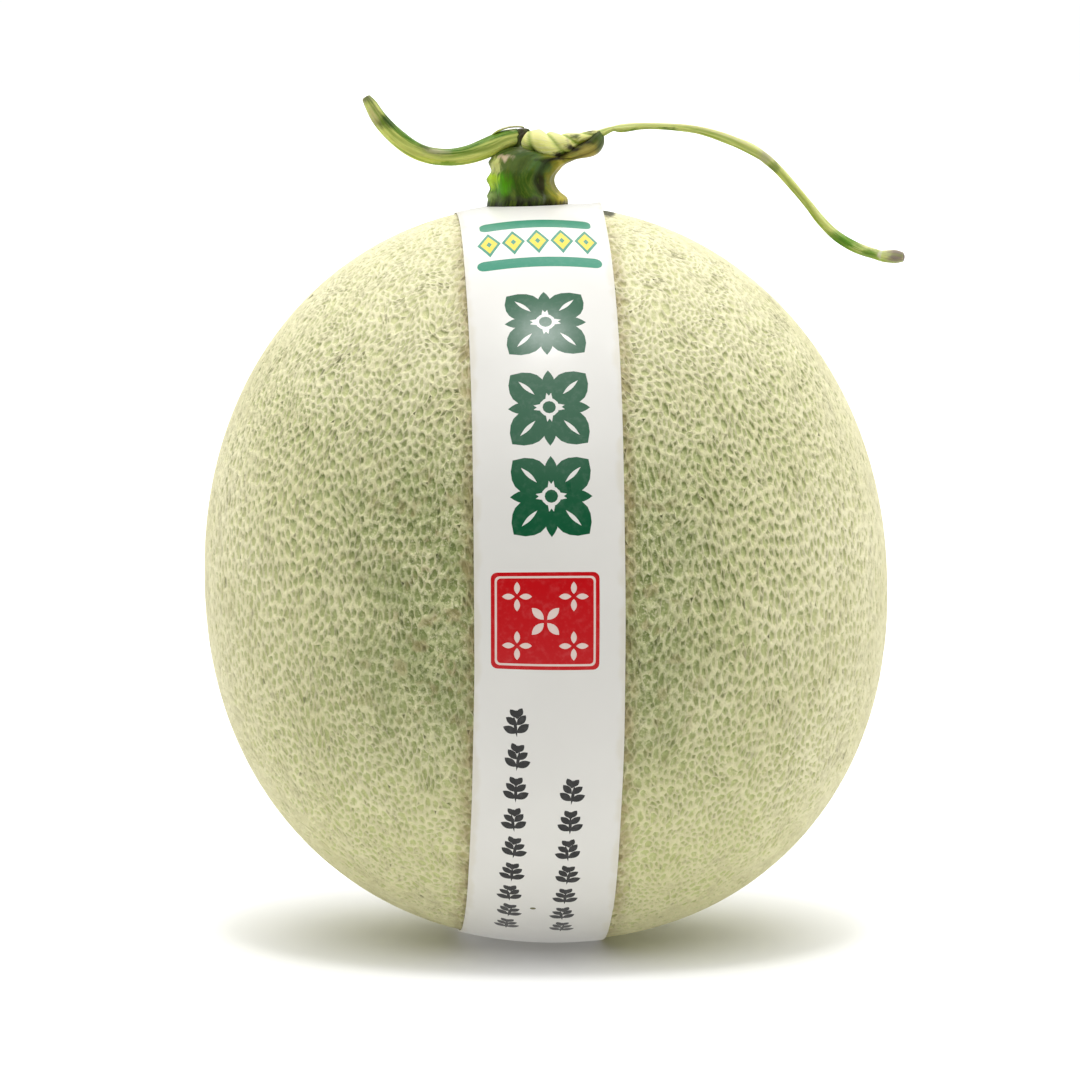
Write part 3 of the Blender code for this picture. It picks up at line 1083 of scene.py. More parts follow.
@dataclass
class PaperBand:
    """The printed strip of paper, wrapped once round the fruit and glued at the back."""

    form: FruitForm = field(default_factory=FruitForm)
    artwork: Print = field(default_factory=Print)
    finish: PaperFinish = field(default_factory=PaperFinish)
    centre: Point = (-0.0042, 0.0, 0.080)
    turn: float = math.radians(3.8)
    width: float = 0.0314
    thickness: float = 0.00022
    lift: float = 0.00022
    hole_radius: float = 0.0094
    start: float = -0.130
    lap: float = 0.010
    lap_climb: Flat = (0.007, 0.006)
    lap_gap: float = 0.00005
    grid: float = 0.0021
    columns: int = 15
    rail_steps: int = 2881
    ripple: float = 0.00010
    edge_ripple: float = 0.00022
    corner_place: Flat = (0.0085, 0.002)
    corner_reach: Flat = (0.0072, 0.011)
    corner_lift: float = 0.0008
    pressed_below: float = 0.012
    foot_height: float = 0.0004

    def rail(self) -> tuple[np.ndarray, np.ndarray]:
        """Measures the loop along its middle.

        Returns:
            The angles from the top, and the length along the fruit up to each.
        """
        angles = np.linspace(0.0, math.tau, self.rail_steps)
        line = self.form.reach(*self.rays(np.zeros_like(angles), angles))
        steps = np.linalg.norm(np.diff(line, axis=0), axis=1)
        return angles, np.concatenate(([0.0], np.cumsum(steps)))

    def rays(self, across: np.ndarray, angles: np.ndarray) -> tuple[np.ndarray, np.ndarray]:
        """Points rays from the band's centre line.

        Args:
            across: Places across the band, in metres.
            angles: Angles from the top, forwards and down.

        Returns:
            Where the rays start, and their directions.
        """
        sideways = np.array((math.cos(self.turn), math.sin(self.turn), 0.0))
        front = np.array((math.sin(self.turn), -math.cos(self.turn), 0.0))
        start = np.array(self.centre) + across[:, None] * sideways
        up = np.array((0.0, 0.0, 1.0))
        return start, np.sin(angles)[:, None] * front + np.cos(angles)[:, None] * up

    def heights(
        self, across: np.ndarray, along: np.ndarray, loop: float, levels: np.ndarray
    ) -> np.ndarray:
        """Works out how far the strip's underside stands off the fruit.

        Args:
            across: Places across the strip.
            along: Places along it.
            loop: The loop's length.
            levels: How high above the ground each place of the fruit is.

        Returns:
            The heights.
        """
        edge = np.abs(across) / (self.width / 2.0)
        wave = self.ripple * np.sin(along * 130.0 + 2.0 * np.sin(along * 41.0)) * (0.3 + edge**2)
        wave += self.edge_ripple * edge**6 * (
            1.0 + np.sin(along * 88.0 + np.sign(across) * 1.3))
        corner = np.clip((across - self.corner_place[0]) / self.corner_reach[0], 0.0, 1.0) ** 2
        corner = corner * np.exp(-(((along - self.corner_place[1]) / self.corner_reach[1]) ** 2))
        climb = np.clip(
            (along - (self.start + loop - self.lap_climb[0])) / self.lap_climb[1], 0.0, 1.0)
        under = self.lift + climb**2 * (3.0 - 2.0 * climb) * (self.thickness + self.lap_gap)
        wave = np.where(levels < self.pressed_below, 0.0, wave)
        return under + wave + self.corner_lift * corner

    def wrapped(
        self, flat: np.ndarray, rail: tuple[np.ndarray, np.ndarray]
    ) -> tuple[np.ndarray, np.ndarray]:
        """Wraps places of the flat strip round the fruit.

        Args:
            flat: Places across and along the strip, in metres.
            rail: The measured loop.

        Returns:
            The places on the strip's underside, and those on its printed side.
        """
        across, along = flat[:, 0], flat[:, 1]
        angles, lengths = rail
        loop = lengths[-1]
        base = self.form.reach(*self.rays(across, np.interp(along % loop, lengths, angles)))
        normal = self.form.normal(base)
        under = self.heights(across, along, loop, base[:, 2])
        inner = base + normal * under[:, None]
        outer = base + normal * (under + self.thickness)[:, None]
        outer[:, 2] = np.maximum(outer[:, 2], 0.0)
        inner[:, 2] = np.maximum(
            inner[:, 2], np.minimum(outer[:, 2] + self.thickness, self.foot_height))
        return inner, outer

    def outlines(self, length: float) -> list[tuple[Ink | None, Outline]]:
        """Lists what lies on the flat strip, from the paper up to the stalk's hole.

        Args:
            length: The strip's length in millimetres.

        Returns:
            The inks, with None for the hole, and their outlines.
        """
        half, low = self.width * (PER_METRE / 2.0), self.start * PER_METRE
        high, radius = low + length, self.hole_radius * PER_METRE
        strip = [(-half, low), (half, low), (half, high), (-half, high)]
        hole = [
            (radius * math.cos(math.tau * k / 48), radius * math.sin(math.tau * k / 48))
            for k in range(48)
        ]
        printed = [
            (mark.ink, close_set(mark.outline, self.grid * PER_METRE))
            for mark in self.artwork.marks()
        ]
        return [(Ink.PAPER, strip), *printed, (None, hole)]

    def cut(self, length: float) -> CutSheet:
        """Cuts the flat strip into triangles of one ink each.

        Args:
            length: The strip's length in millimetres.

        Returns:
            The cut strip.
        """
        half, low = self.width * (PER_METRE / 2.0), self.start * PER_METRE
        rows = np.linspace(low, low + length, round(length / (self.grid * PER_METRE)) + 1)
        points = [(x, y) for y in rows for x in np.linspace(-half, half, self.columns)]
        outlines = self.outlines(length)
        faces = []
        for _, outline in outlines:
            area = sum(
                a[0] * b[1] - b[0] * a[1] for a, b in zip(outline, outline[1:] + outline[:1]))
            order = 1 if area > 0 else -1
            faces.append([len(points) + k for k in range(len(outline))][::order])
            points += outline
        net = delaunay_2d_cdt([Vector(point) for point in points], [], faces, 0, 1e-4)
        flat = np.array([tuple(point) for point in net[0]])
        triangles, inks = [], []
        for triangle, inside in zip(net[2], net[5]):
            top = outlines[max(inside)][0] if inside else None
            if top is not None:
                triangles.append(tuple(triangle))
                inks.append(top.value)
        used = np.unique(np.array(triangles))
        place = {int(old): new for new, old in enumerate(used)}
        triangles = [tuple(place[corner] for corner in triangle) for triangle in triangles]
        return CutSheet(flat[used], triangles, inks)

    def skinned(self, sheet: CutSheet, rail: tuple[np.ndarray, np.ndarray]) -> bpy.types.Mesh:
        """Wraps the cut strip and closes it round its rims.

        Args:
            sheet: The cut strip.
            rail: The measured loop.

        Returns:
            The mesh, with its inks.
        """
        inner, outer = self.wrapped(sheet.places / PER_METRE, rail)
        count = len(sheet.places)
        sides: dict[tuple[int, int], tuple[int, int]] = {}
        for triangle in sheet.triangles:
            for a, b in zip(triangle, triangle[1:] + triangle[:1]):
                key = (min(a, b), max(a, b))
                if key in sides:
                    del sides[key]
                else:
                    sides[key] = (a, b)
        polygons = [(a, c, b) for a, b, c in sheet.triangles]
        polygons += [(a + count, b + count, c + count) for a, b, c in sheet.triangles]
        polygons += [(a, b, b + count, a + count) for a, b in sides.values()]
        mesh = bpy.data.meshes.new("paper_strip")
        mesh.from_pydata(np.vstack((outer, inner)).tolist(), [], polygons)
        mesh.validate()
        for material in self.finish.build():
            mesh.materials.append(material)
        inks = sheet.inks + [0] * (len(polygons) - len(sheet.inks))
        mesh.polygons.foreach_set("material_index", inks)
        mesh.polygons.foreach_set("use_smooth", [True] * len(polygons))
        edge = mesh.attributes.new("edge", "FLOAT", "POINT")
        share = np.abs(sheet.places[:, 0]) / (self.width * (PER_METRE / 2.0))
        edge.data.foreach_set("value", np.concatenate((share, share)).astype(np.float32))
        rims = {(a + shift, b + shift) for a, b in sides for shift in (0, count)}
        at_rim = [tuple(sorted(side.vertices)) in rims for side in mesh.edges]
        mesh.attributes.new("sharp_edge", "BOOLEAN", "EDGE").data.foreach_set("value", at_rim)
        mesh.update()
        return mesh

    def build(self) -> bpy.types.Object:
        """Cuts, prints and wraps the strip, and lets it stand for its solid."""
        rail = self.rail()
        length = (rail[1][-1] + self.lap) * PER_METRE
        mesh = self.skinned(self.cut(length), rail)
        piece = deliver(new_piece("printed_band", mesh), "paper_band")
        LOG.info("strip of paper %.1f x %.1f mm", self.width * PER_METRE, length)
        return piece


def seen(red: float, green: float, blue: float) -> Colour:
    """Turns a colour as it looks in soft light, from 0 to 255, into the surface's own."""
    return tuple((part / 255.0) ** 2.2 / 1.15 for part in (red, green, blue))


@dataclass(frozen=True)
class Patch:
    """A soft-edged patch of colour at a place of a piece, in millimetres."""

    middle: Point
    reach: Point
    colour: Colour
    strength: float = 1.0


@dataclass(frozen=True)
class StemFinish:
    """Fibrous green stem, with colours above, beside and below that are partly its own and partly
    painted light on top and painted shade underneath, and with painted shade in each groove.
    """

    name: str
    above: Colour
    beside: Colour
    below: Colour
    streak: Colour
    # Colour of the painted shade in each groove and crease and under the vine stub, and of the
    # small specks.
    groove: Colour
    cut: Colour
    patches: tuple[Patch, ...] = ()
    streak_share: float = 0.6
    gloss: Gloss = Gloss(roughness=0.5, specular=0.22, subsurface=0.08, subsurface_scale=0.001)
    patch_waver: float = 0.0022
    waver_scale: float = 420.0
    drift: Speckle = Speckle(2.6, 2.0, 0.5, 0.3, 0.7, most=0.22, least=-0.22)
    relief_depth: float = 0.00018

    def build(self) -> bpy.types.Material:
        """Builds the material."""
        finish = Finish(self.name, self.gloss)
        sheet = finish.sheet
        place = sheet.object_place()
        grain = sheet.attribute("grain", "Vector")
        fibre = sheet.noise(grain, 10.0, 4.0, 0.65)
        speck = sheet.noise(place, 1300.0, 3.0, 0.65)
        upside = sheet.plus(sheet.attribute("upside"), self.drift.spread(sheet, grain))
        # Tops get their own colour; the tendril's paler top is painted light.
        colour = sheet.mix(sheet.between(upside, 0.05, 0.6), self.beside, self.above)
        # Undersides get a darker colour, which on the vine stub and the tendril is painted shade.
        colour = sheet.mix(sheet.between(upside, -0.35, -0.75), colour, self.below)
        streaks = sheet.times(sheet.between(fibre, 0.44, 0.66), self.streak_share)
        colour = sheet.mix(streaks, colour, self.streak)
        waver = sheet.noise(place, self.waver_scale, 2.0, 0.6, colour=True)
        wavering = sheet.vector("ADD", place, sheet.vector("SCALE", sheet.vector(
            "SUBTRACT", waver, (0.5, 0.5, 0.5)), self.patch_waver))
        ragged = sheet.between(fibre, 0.3, 0.7, -0.25, 0.25)
        for patch in self.patches:
            middle = tuple(part / PER_METRE for part in patch.middle)
            reach = tuple(part / PER_METRE for part in patch.reach)
            away = sheet.plus(sheet.away(wavering, middle, reach), ragged)
            share = sheet.between(away, 0.3, 1.25, patch.strength, 0.0)
            colour = sheet.mix(share, colour, patch.colour)
        # Painted shade in each groove between the ribs, and on the trunk also in its creases and
        # under the vine stub.
        groove_shade = sheet.times(sheet.attribute("groove"), sheet.between(fibre, 0.2, 0.6, 1.0, 0.6))
        for share, other in (
            (groove_shade, self.groove),
            (sheet.between(speck, 0.62, 0.8, 0.0, 0.35), self.groove),
            (sheet.attribute("cut"), self.cut),
        ):
            colour = sheet.mix(share, colour, other)
        finish.coloured(colour)
        finish.raised(sheet.line(speck, 0.4, fibre), self.relief_depth, 0.8)
        return finish.material


def eased(stations: np.ndarray, count: int) -> np.ndarray:
    """Draws a smooth curve through stations.

    Args:
        stations: The numbers of each station, one station in a row.
        count: How many evenly spaced rows are wanted.

    Returns:
        The rows along the curve.
    """
    padded = np.vstack((
        2 * stations[0] - stations[1], stations, 2 * stations[-1] - stations[-2]))
    gaps = np.linalg.norm(np.diff(stations, axis=0), axis=1)
    steps = np.concatenate(([0.0], np.cumsum(gaps)))
    rows = []
    for place in np.linspace(0.0, steps[-1], count):
        k = int(min(np.searchsorted(steps, place, side="right") - 1, len(stations) - 2))
        t = (place - steps[k]) / (steps[k + 1] - steps[k])
        p0, p1, p2, p3 = padded[k : k + 4]
        rows.append(0.5 * (
            2 * p1 + (p2 - p0) * t + (2 * p0 - 5 * p1 + 4 * p2 - p3) * t**2
            + (3 * p1 - p0 - 3 * p2 + p3) * t**3
        ))
    return np.array(rows)


@dataclass(frozen=True)
class Fibres:
    """Ribs and fine ridges that run along a stem, as shares of its radius."""

    ribs: int
    rib_depth: float
    twist: float = 0.0
    fine_depth: float = 0.025
    knobs: float = 0.0
    lobed: bool = False
    seed: int = 1
    fine_counts: tuple[int, ...] = (7, 11, 16, 23)

    def relief(self, around: np.ndarray, along: np.ndarray) -> tuple[np.ndarray, np.ndarray]:
        """Works out the relief of a stem's rings.

        Args:
            around: The angle of each point.
            along: How far each point is along the stem, in millimetres.

        Returns:
            What each radius is multiplied by, and how deep in a groove each point is, from 0 to 1.
        """
        luck = np.random.default_rng(self.seed)
        phase = self.ribs * around + self.twist * along
        phase = phase + 0.5 * np.sin(0.55 * along + 1.0)
        wave = 2.0 * np.abs(np.cos(phase / 2.0)) ** 0.8 - 1.0 if self.lobed else np.cos(phase)
        wave = wave * (1.0 + 0.35 * np.sin(2.0 * around + 0.31 * along + self.seed))
        fine = np.zeros_like(around)
        for count in self.fine_counts:
            fine += np.cos(count * around + luck.uniform(0, 6.28) + self.twist * along + np.sin(
                along * luck.uniform(0.2, 0.6) + luck.uniform(0, 6.28))) / count**0.35
        knobs = np.sin(along * 1.15 + 2.0 * around) * np.sin(along * 0.63 + self.seed)
        shape = 1.0 + self.rib_depth * wave + self.fine_depth * fine + self.knobs * knobs
        return shape, np.clip((0.25 if self.lobed else -0.25) - wave, 0.0, 1.0)


@dataclass(frozen=True)
class Rings:
    """The rings of a lofted stem, with what its material reads at each point."""

    points: np.ndarray
    around: np.ndarray
    along: np.ndarray
    groove: np.ndarray
    ends: Flat = (1.0, 1.0)
    bulge: Flat = (0.15, 0.15)

    def cap(self, end: int) -> tuple[np.ndarray, ...]:
        """Draws the smaller rings that close one end.

        Args:
            end: 0 for the end of the first ring, 1 for that of the last one.

        Returns:
            The rings' points, angles, lengths, grooves and cuts.
        """
        first, second = ((0, 1), (-1, -2))[end]
        ring = self.points[first]
        heart = ring.mean(axis=0)
        size = np.linalg.norm(ring - heart, axis=1).mean()
        out = heart - self.points[second].mean(axis=0)
        out /= np.linalg.norm(out)
        added = []
        for share in (0.86, 0.55, 0.2):
            rough = 0.035 * size * np.sin(self.around[first] * 9.0 + share * 20.0)
            dome = self.bulge[end] * size * (1.0 - share**2)
            added.append(heart + (ring - heart) * share + out * (dome + rough)[:, None])
        rows = (np.repeat(row[first][None], 3, axis=0) for row in (
            self.around, self.along, self.groove))
        return (np.array(added), *rows, np.full((3, len(ring)), self.ends[end]))

    def capped(self) -> tuple[np.ndarray, ...]:
        """Closes both ends.

        Returns:
            All rings' points, angles, lengths, grooves and cuts.
        """
        body = (self.points, self.around, self.along, self.groove, np.zeros(self.around.shape))
        return tuple(
            np.concatenate((start[::-1], middle, end))
            for start, middle, end in zip(self.cap(0), body, self.cap(1))
        )


def lofted(name: str, parts: list[Rings], material: bpy.types.Material) -> bpy.types.Object:
    """Skins rings into one closed piece.

    Args:
        name: The piece's name.
        parts: The lofts that make it up.
        material: Its material.

    Returns:
        The piece.
    """
    places, polygons = [], []
    values: dict[str, list[np.ndarray]] = {
        key: [] for key in ("upside", "groove", "cut", "grain")
    }
    for part in parts:
        rings, around, along, groove, cut = part.capped()
        rows, count = around.shape
        away = rings - rings.mean(axis=1, keepdims=True)
        upside = away[..., 2] / np.maximum(np.linalg.norm(away, axis=2), 1e-9)
        base = len(places)
        places += rings.reshape(-1, 3).tolist()
        for row in range(rows - 1):
            for k in range(count):
                a, b = base + row * count + k, base + row * count + (k + 1) % count
                polygons.append((a + count, b + count, b, a))
        polygons.append(tuple(base + k for k in range(count)))
        polygons.append(tuple(base + (rows - 1) * count + k for k in reversed(range(count))))
        grain = np.stack((np.cos(around), np.sin(around), along * 0.035), axis=2)
        for key, numbers in (("upside", upside), ("groove", groove), ("cut", cut)):
            values[key].append(numbers.ravel())
        values["grain"].append(grain.reshape(-1, 3))
    mesh = bpy.data.meshes.new(name)
    mesh.from_pydata(places, [], polygons)
    for key, arrays in values.items():
        kind, part_name = ("FLOAT_VECTOR", "vector") if key == "grain" else ("FLOAT", "value")
        stored = mesh.attributes.new(key, kind, "POINT")
        stored.data.foreach_set(part_name, np.concatenate(arrays).ravel())
    mesh.materials.append(material)
    mesh.polygons.foreach_set("use_smooth", [True] * len(polygons))
    mesh.update()
    return new_piece(name, mesh)


@dataclass(frozen=True)
class Shoot:
    """A bent, tapering round stem through stations of x, y, z and radius, in millimetres."""

    route: tuple[tuple[float, float, float, float], ...]
    fibres: Fibres
    segments: int = 40
    rows: int = 90
    flatten: float = 1.0
    thinnest: float = 0.15
    ends: Flat = (1.0, 1.0)
    bulge: Flat = (0.1, 0.15)

    def rings(self) -> Rings:
        """Draws the stem's rings."""
        line = eased(np.array(self.route), self.rows)
        middle, radius = line[:, :3], np.maximum(line[:, 3], self.thinnest)
        ahead = np.gradient(middle, axis=0)
        ahead /= np.linalg.norm(ahead, axis=1)[:, None]
        up = np.array((0.0, 0.0, 1.0)) - ahead * ahead[:, 2:3]
        up /= np.linalg.norm(up, axis=1)[:, None]
        side = np.cross(ahead, up)
        angle = np.linspace(0.0, math.tau, self.segments, endpoint=False)
        step = np.linalg.norm(np.diff(middle, axis=0), axis=1)
        far = np.concatenate(([0.0], np.cumsum(step)))
        around, along = np.meshgrid(angle, far)
        shape, groove = self.fibres.relief(around, along)
        reach = radius[:, None] * shape
        points = middle[:, None] + (
            (np.cos(around) * reach * self.flatten)[..., None] * side[:, None]
            + (np.sin(around) * reach)[..., None] * up[:, None]
        )
        return Rings(points / PER_METRE, around, along, groove, self.ends, self.bulge)


@dataclass
class LeafStalk:
    """The smooth arm that bends up to the left, with a dry peeling shred on it."""

    arm: Shoot = Shoot(
        route=(
            (-6.0, -0.6, 177.6, 1.95), (-9.1, -1.2, 176.8, 2.2), (-12.2, -1.8, 175.5, 2.25),
            (-16.7, -2.8, 173.9, 2.05), (-21.1, -3.6, 173.2, 1.9), (-25.5, -4.2, 173.6, 1.82),
            (-29.5, -4.4, 175.2, 1.85), (-33.3, -4.2, 178.0, 1.85), (-36.5, -3.7, 181.4, 1.72),
            (-38.6, -3.2, 184.7, 1.4), (-39.7, -2.9, 186.3, 0.95),
        ),
        fibres=Fibres(ribs=5, rib_depth=0.055, twist=0.03, fine_depth=0.022, seed=4),
        rows=120,
    )
    shred: Shoot = Shoot(
        route=((-12.3, -1.6, 177.7, 0.16), (-10.6, -1.6, 178.9, 0.22), (-8.4, -1.4, 179.7, 0.24),
               (-6.2, -1.0, 179.9, 0.22), (-4.9, -0.8, 179.7, 0.18)),
        fibres=Fibres(ribs=3, rib_depth=0.15, seed=2), segments=10, rows=30, flatten=2.4,
    )
    finish: StemFinish = StemFinish(
        name="leaf_stalk_green",
        above=seen(72, 116, 14), beside=seen(226, 232, 126), below=seen(220, 232, 96),
        streak=seen(174, 196, 84), groove=seen(112, 144, 40), cut=seen(124, 116, 92),
        streak_share=0.5,
        patches=(
            Patch((-9.0, -3.0, 179.9), (5.5, 4.0, 0.8), seen(226, 222, 170)),
            Patch((-34.6, -4.6, 181.2), (4.6, 4.0, 1.9), seen(52, 74, 12), 0.85),
            Patch((-38.0, -5.0, 182.6), (1.7, 4.0, 3.2), seen(198, 190, 128), 0.7),
            Patch((-39.6, -3.0, 186.4), (1.8, 4.0, 2.0), seen(120, 118, 84), 0.9),
            Patch((-24.5, -6.0, 174.6), (3.4, 4.0, 1.1), seen(196, 184, 150), 0.65),
            Patch((-26.5, -5.0, 175.6), (2.4, 4.0, 0.7), seen(70, 76, 34), 0.6),
            Patch((-22.5, -5.0, 171.6), (5.0, 4.0, 0.75), seen(112, 160, 24), 0.8),
            Patch((-30.5, -6.0, 174.2), (5.0, 4.0, 1.0), seen(206, 212, 110), 0.7),
        ),
    )

    def build(self) -> bpy.types.Object:
        """Grows the arm and lets it stand for its solid."""
        piece = lofted("left_arm", [self.arm.rings(), self.shred.rings()], self.finish.build())
        return deliver(piece, "leaf_stalk")


@dataclass
class VineStub:
    """The knobbly, twisted length of cut vine on the stalk's lip."""

    stub: Shoot = Shoot(
        route=(
            (-4.4, -1.1, 177.1, 2.1), (-2.2, -1.9, 176.1, 2.85), (0.0, -2.1, 175.6, 2.95),
            (2.3, -1.9, 175.7, 2.5), (4.6, -1.4, 176.3, 1.95), (6.6, -1.0, 176.9, 1.45),
            (8.4, -0.7, 177.5, 1.15), (10.2, -0.4, 178.1, 0.85), (11.3, -0.2, 178.5, 0.6),
        ),
        fibres=Fibres(
            ribs=2, rib_depth=0.16, twist=1.42, fine_depth=0.022, knobs=0.04, lobed=True, seed=9),
        segments=56, bulge=(0.05, 0.3),
    )
    # The stub's darker underside colour is painted shade.
    finish: StemFinish = StemFinish(
        name="vine_yellow_green",
        above=seen(246, 244, 158), beside=seen(242, 244, 140), below=seen(196, 210, 88),
        streak=seen(246, 240, 186), groove=seen(118, 156, 34), cut=seen(120, 108, 82),
        patches=(
            # Painted shadow along the stub's underside, where it lies on the lip.
            Patch((-0.6, -4.0, 172.9), (3.0, 3.0, 0.7), seen(54, 46, 14), 0.95),
            Patch((3.0, -3.6, 173.8), (2.0, 3.0, 0.7), seen(46, 40, 10), 1.0),
            Patch((5.6, -2.6, 175.1), (2.2, 3.0, 0.7), seen(46, 40, 10), 1.0),
            Patch((8.3, -1.8, 176.6), (2.2, 3.0, 0.6), seen(50, 46, 12), 1.0),
            Patch((10.6, -1.0, 177.3), (1.6, 3.0, 0.5), seen(58, 54, 18), 0.95),
            Patch((6.6, -1.5, 177.6), (1.3, 2.5, 0.7), seen(38, 66, 20), 0.85),
            Patch((9.6, -1.2, 178.9), (1.5, 2.5, 0.5), seen(46, 62, 26), 0.85),
            Patch((8.0, -1.5, 176.6), (2.6, 2.5, 0.8), seen(176, 180, 60), 0.8),
            Patch((4.9, -2.2, 176.4), (0.8, 2.5, 1.6), seen(168, 168, 130), 0.6),
            Patch((-3.6, -2.5, 175.2), (1.4, 2.5, 1.3), seen(150, 184, 62), 0.8),
        ),
    )

    def build(self) -> bpy.types.Object:
        """Grows the stub and lets it stand for its solid."""
        piece = lofted("vine_end", [self.stub.rings()], self.finish.build())
        return deliver(piece, "vine_stub")


@dataclass
class Tendril:
    """The thin stem that runs off to the right, down to a blunt cut tip."""

    shoot: Shoot = Shoot(
        route=(
            (10.6, -0.2, 178.1, 0.7), (12.4, -0.2, 178.5, 0.8), (13.6, -0.2, 179.0, 0.68),
            (14.9, -0.2, 179.4, 0.56),
            (16.8, -0.6, 179.5, 0.88), (21.5, -1.4, 180.0, 0.74), (27.9, -2.6, 179.8, 0.72),
            (34.2, -3.4, 179.0, 0.95), (40.7, -3.8, 176.9, 1.16), (46.0, -3.4, 174.5, 1.2),
            (49.7, -2.6, 171.8, 1.12), (53.3, -1.6, 168.2, 0.98), (57.8, -0.2, 162.9, 0.96),
            (60.6, 1.0, 159.4, 0.96), (64.2, 2.2, 155.8, 1.08), (68.7, 3.1, 153.1, 1.16),
            (73.6, 3.5, 151.4, 1.08), (75.2, 3.4, 151.1, 1.22), (77.6, 3.2, 151.0, 1.38),
            (79.2, 3.0, 150.9, 1.05),
        ),
        fibres=Fibres(ribs=4, rib_depth=0.10, twist=0.10, fine_depth=0.03, seed=12),
        segments=24, rows=240, bulge=(0.4, 0.35),
    )
    # The tendril's paler top is painted light and its darker underside painted shade.
    finish: StemFinish = StemFinish(
        name="tendril_green",
        above=seen(232, 234, 158), beside=seen(220, 230, 124), below=seen(164, 190, 66),
        streak=seen(234, 236, 168), groove=seen(150, 178, 66), cut=seen(138, 124, 112),
        patches=(
            Patch((20.0, -1.5, 179.0), (3.2, 3.0, 0.7), seen(84, 116, 40), 0.8),
            Patch((27.0, -3.0, 179.2), (2.4, 3.0, 0.55), seen(74, 112, 30), 0.8),
            Patch((48.2, -3.6, 173.6), (2.2, 3.0, 2.2), seen(196, 188, 156), 0.7),
            Patch((50.2, -3.2, 171.0), (1.4, 3.0, 1.4), seen(116, 134, 74), 0.7),
            Patch((66.0, 1.5, 154.6), (5.4, 4.0, 3.0), seen(84, 142, 22), 0.95),
            Patch((71.5, 2.0, 151.6), (3.4, 4.0, 1.3), seen(96, 140, 34), 0.9),
            Patch((74.2, 2.0, 151.5), (0.5, 4.0, 2.0), seen(226, 224, 196), 0.8),
            Patch((77.6, 2.0, 151.2), (2.6, 4.0, 3.0), seen(150, 136, 122), 1.0),
        ),
    )

    def build(self) -> bpy.types.Object:
        """Grows the tendril and lets it stand for its solid."""
        piece = lofted("right_tendril", [self.shoot.rings()], self.finish.build())
        return deliver(piece, "tendril")


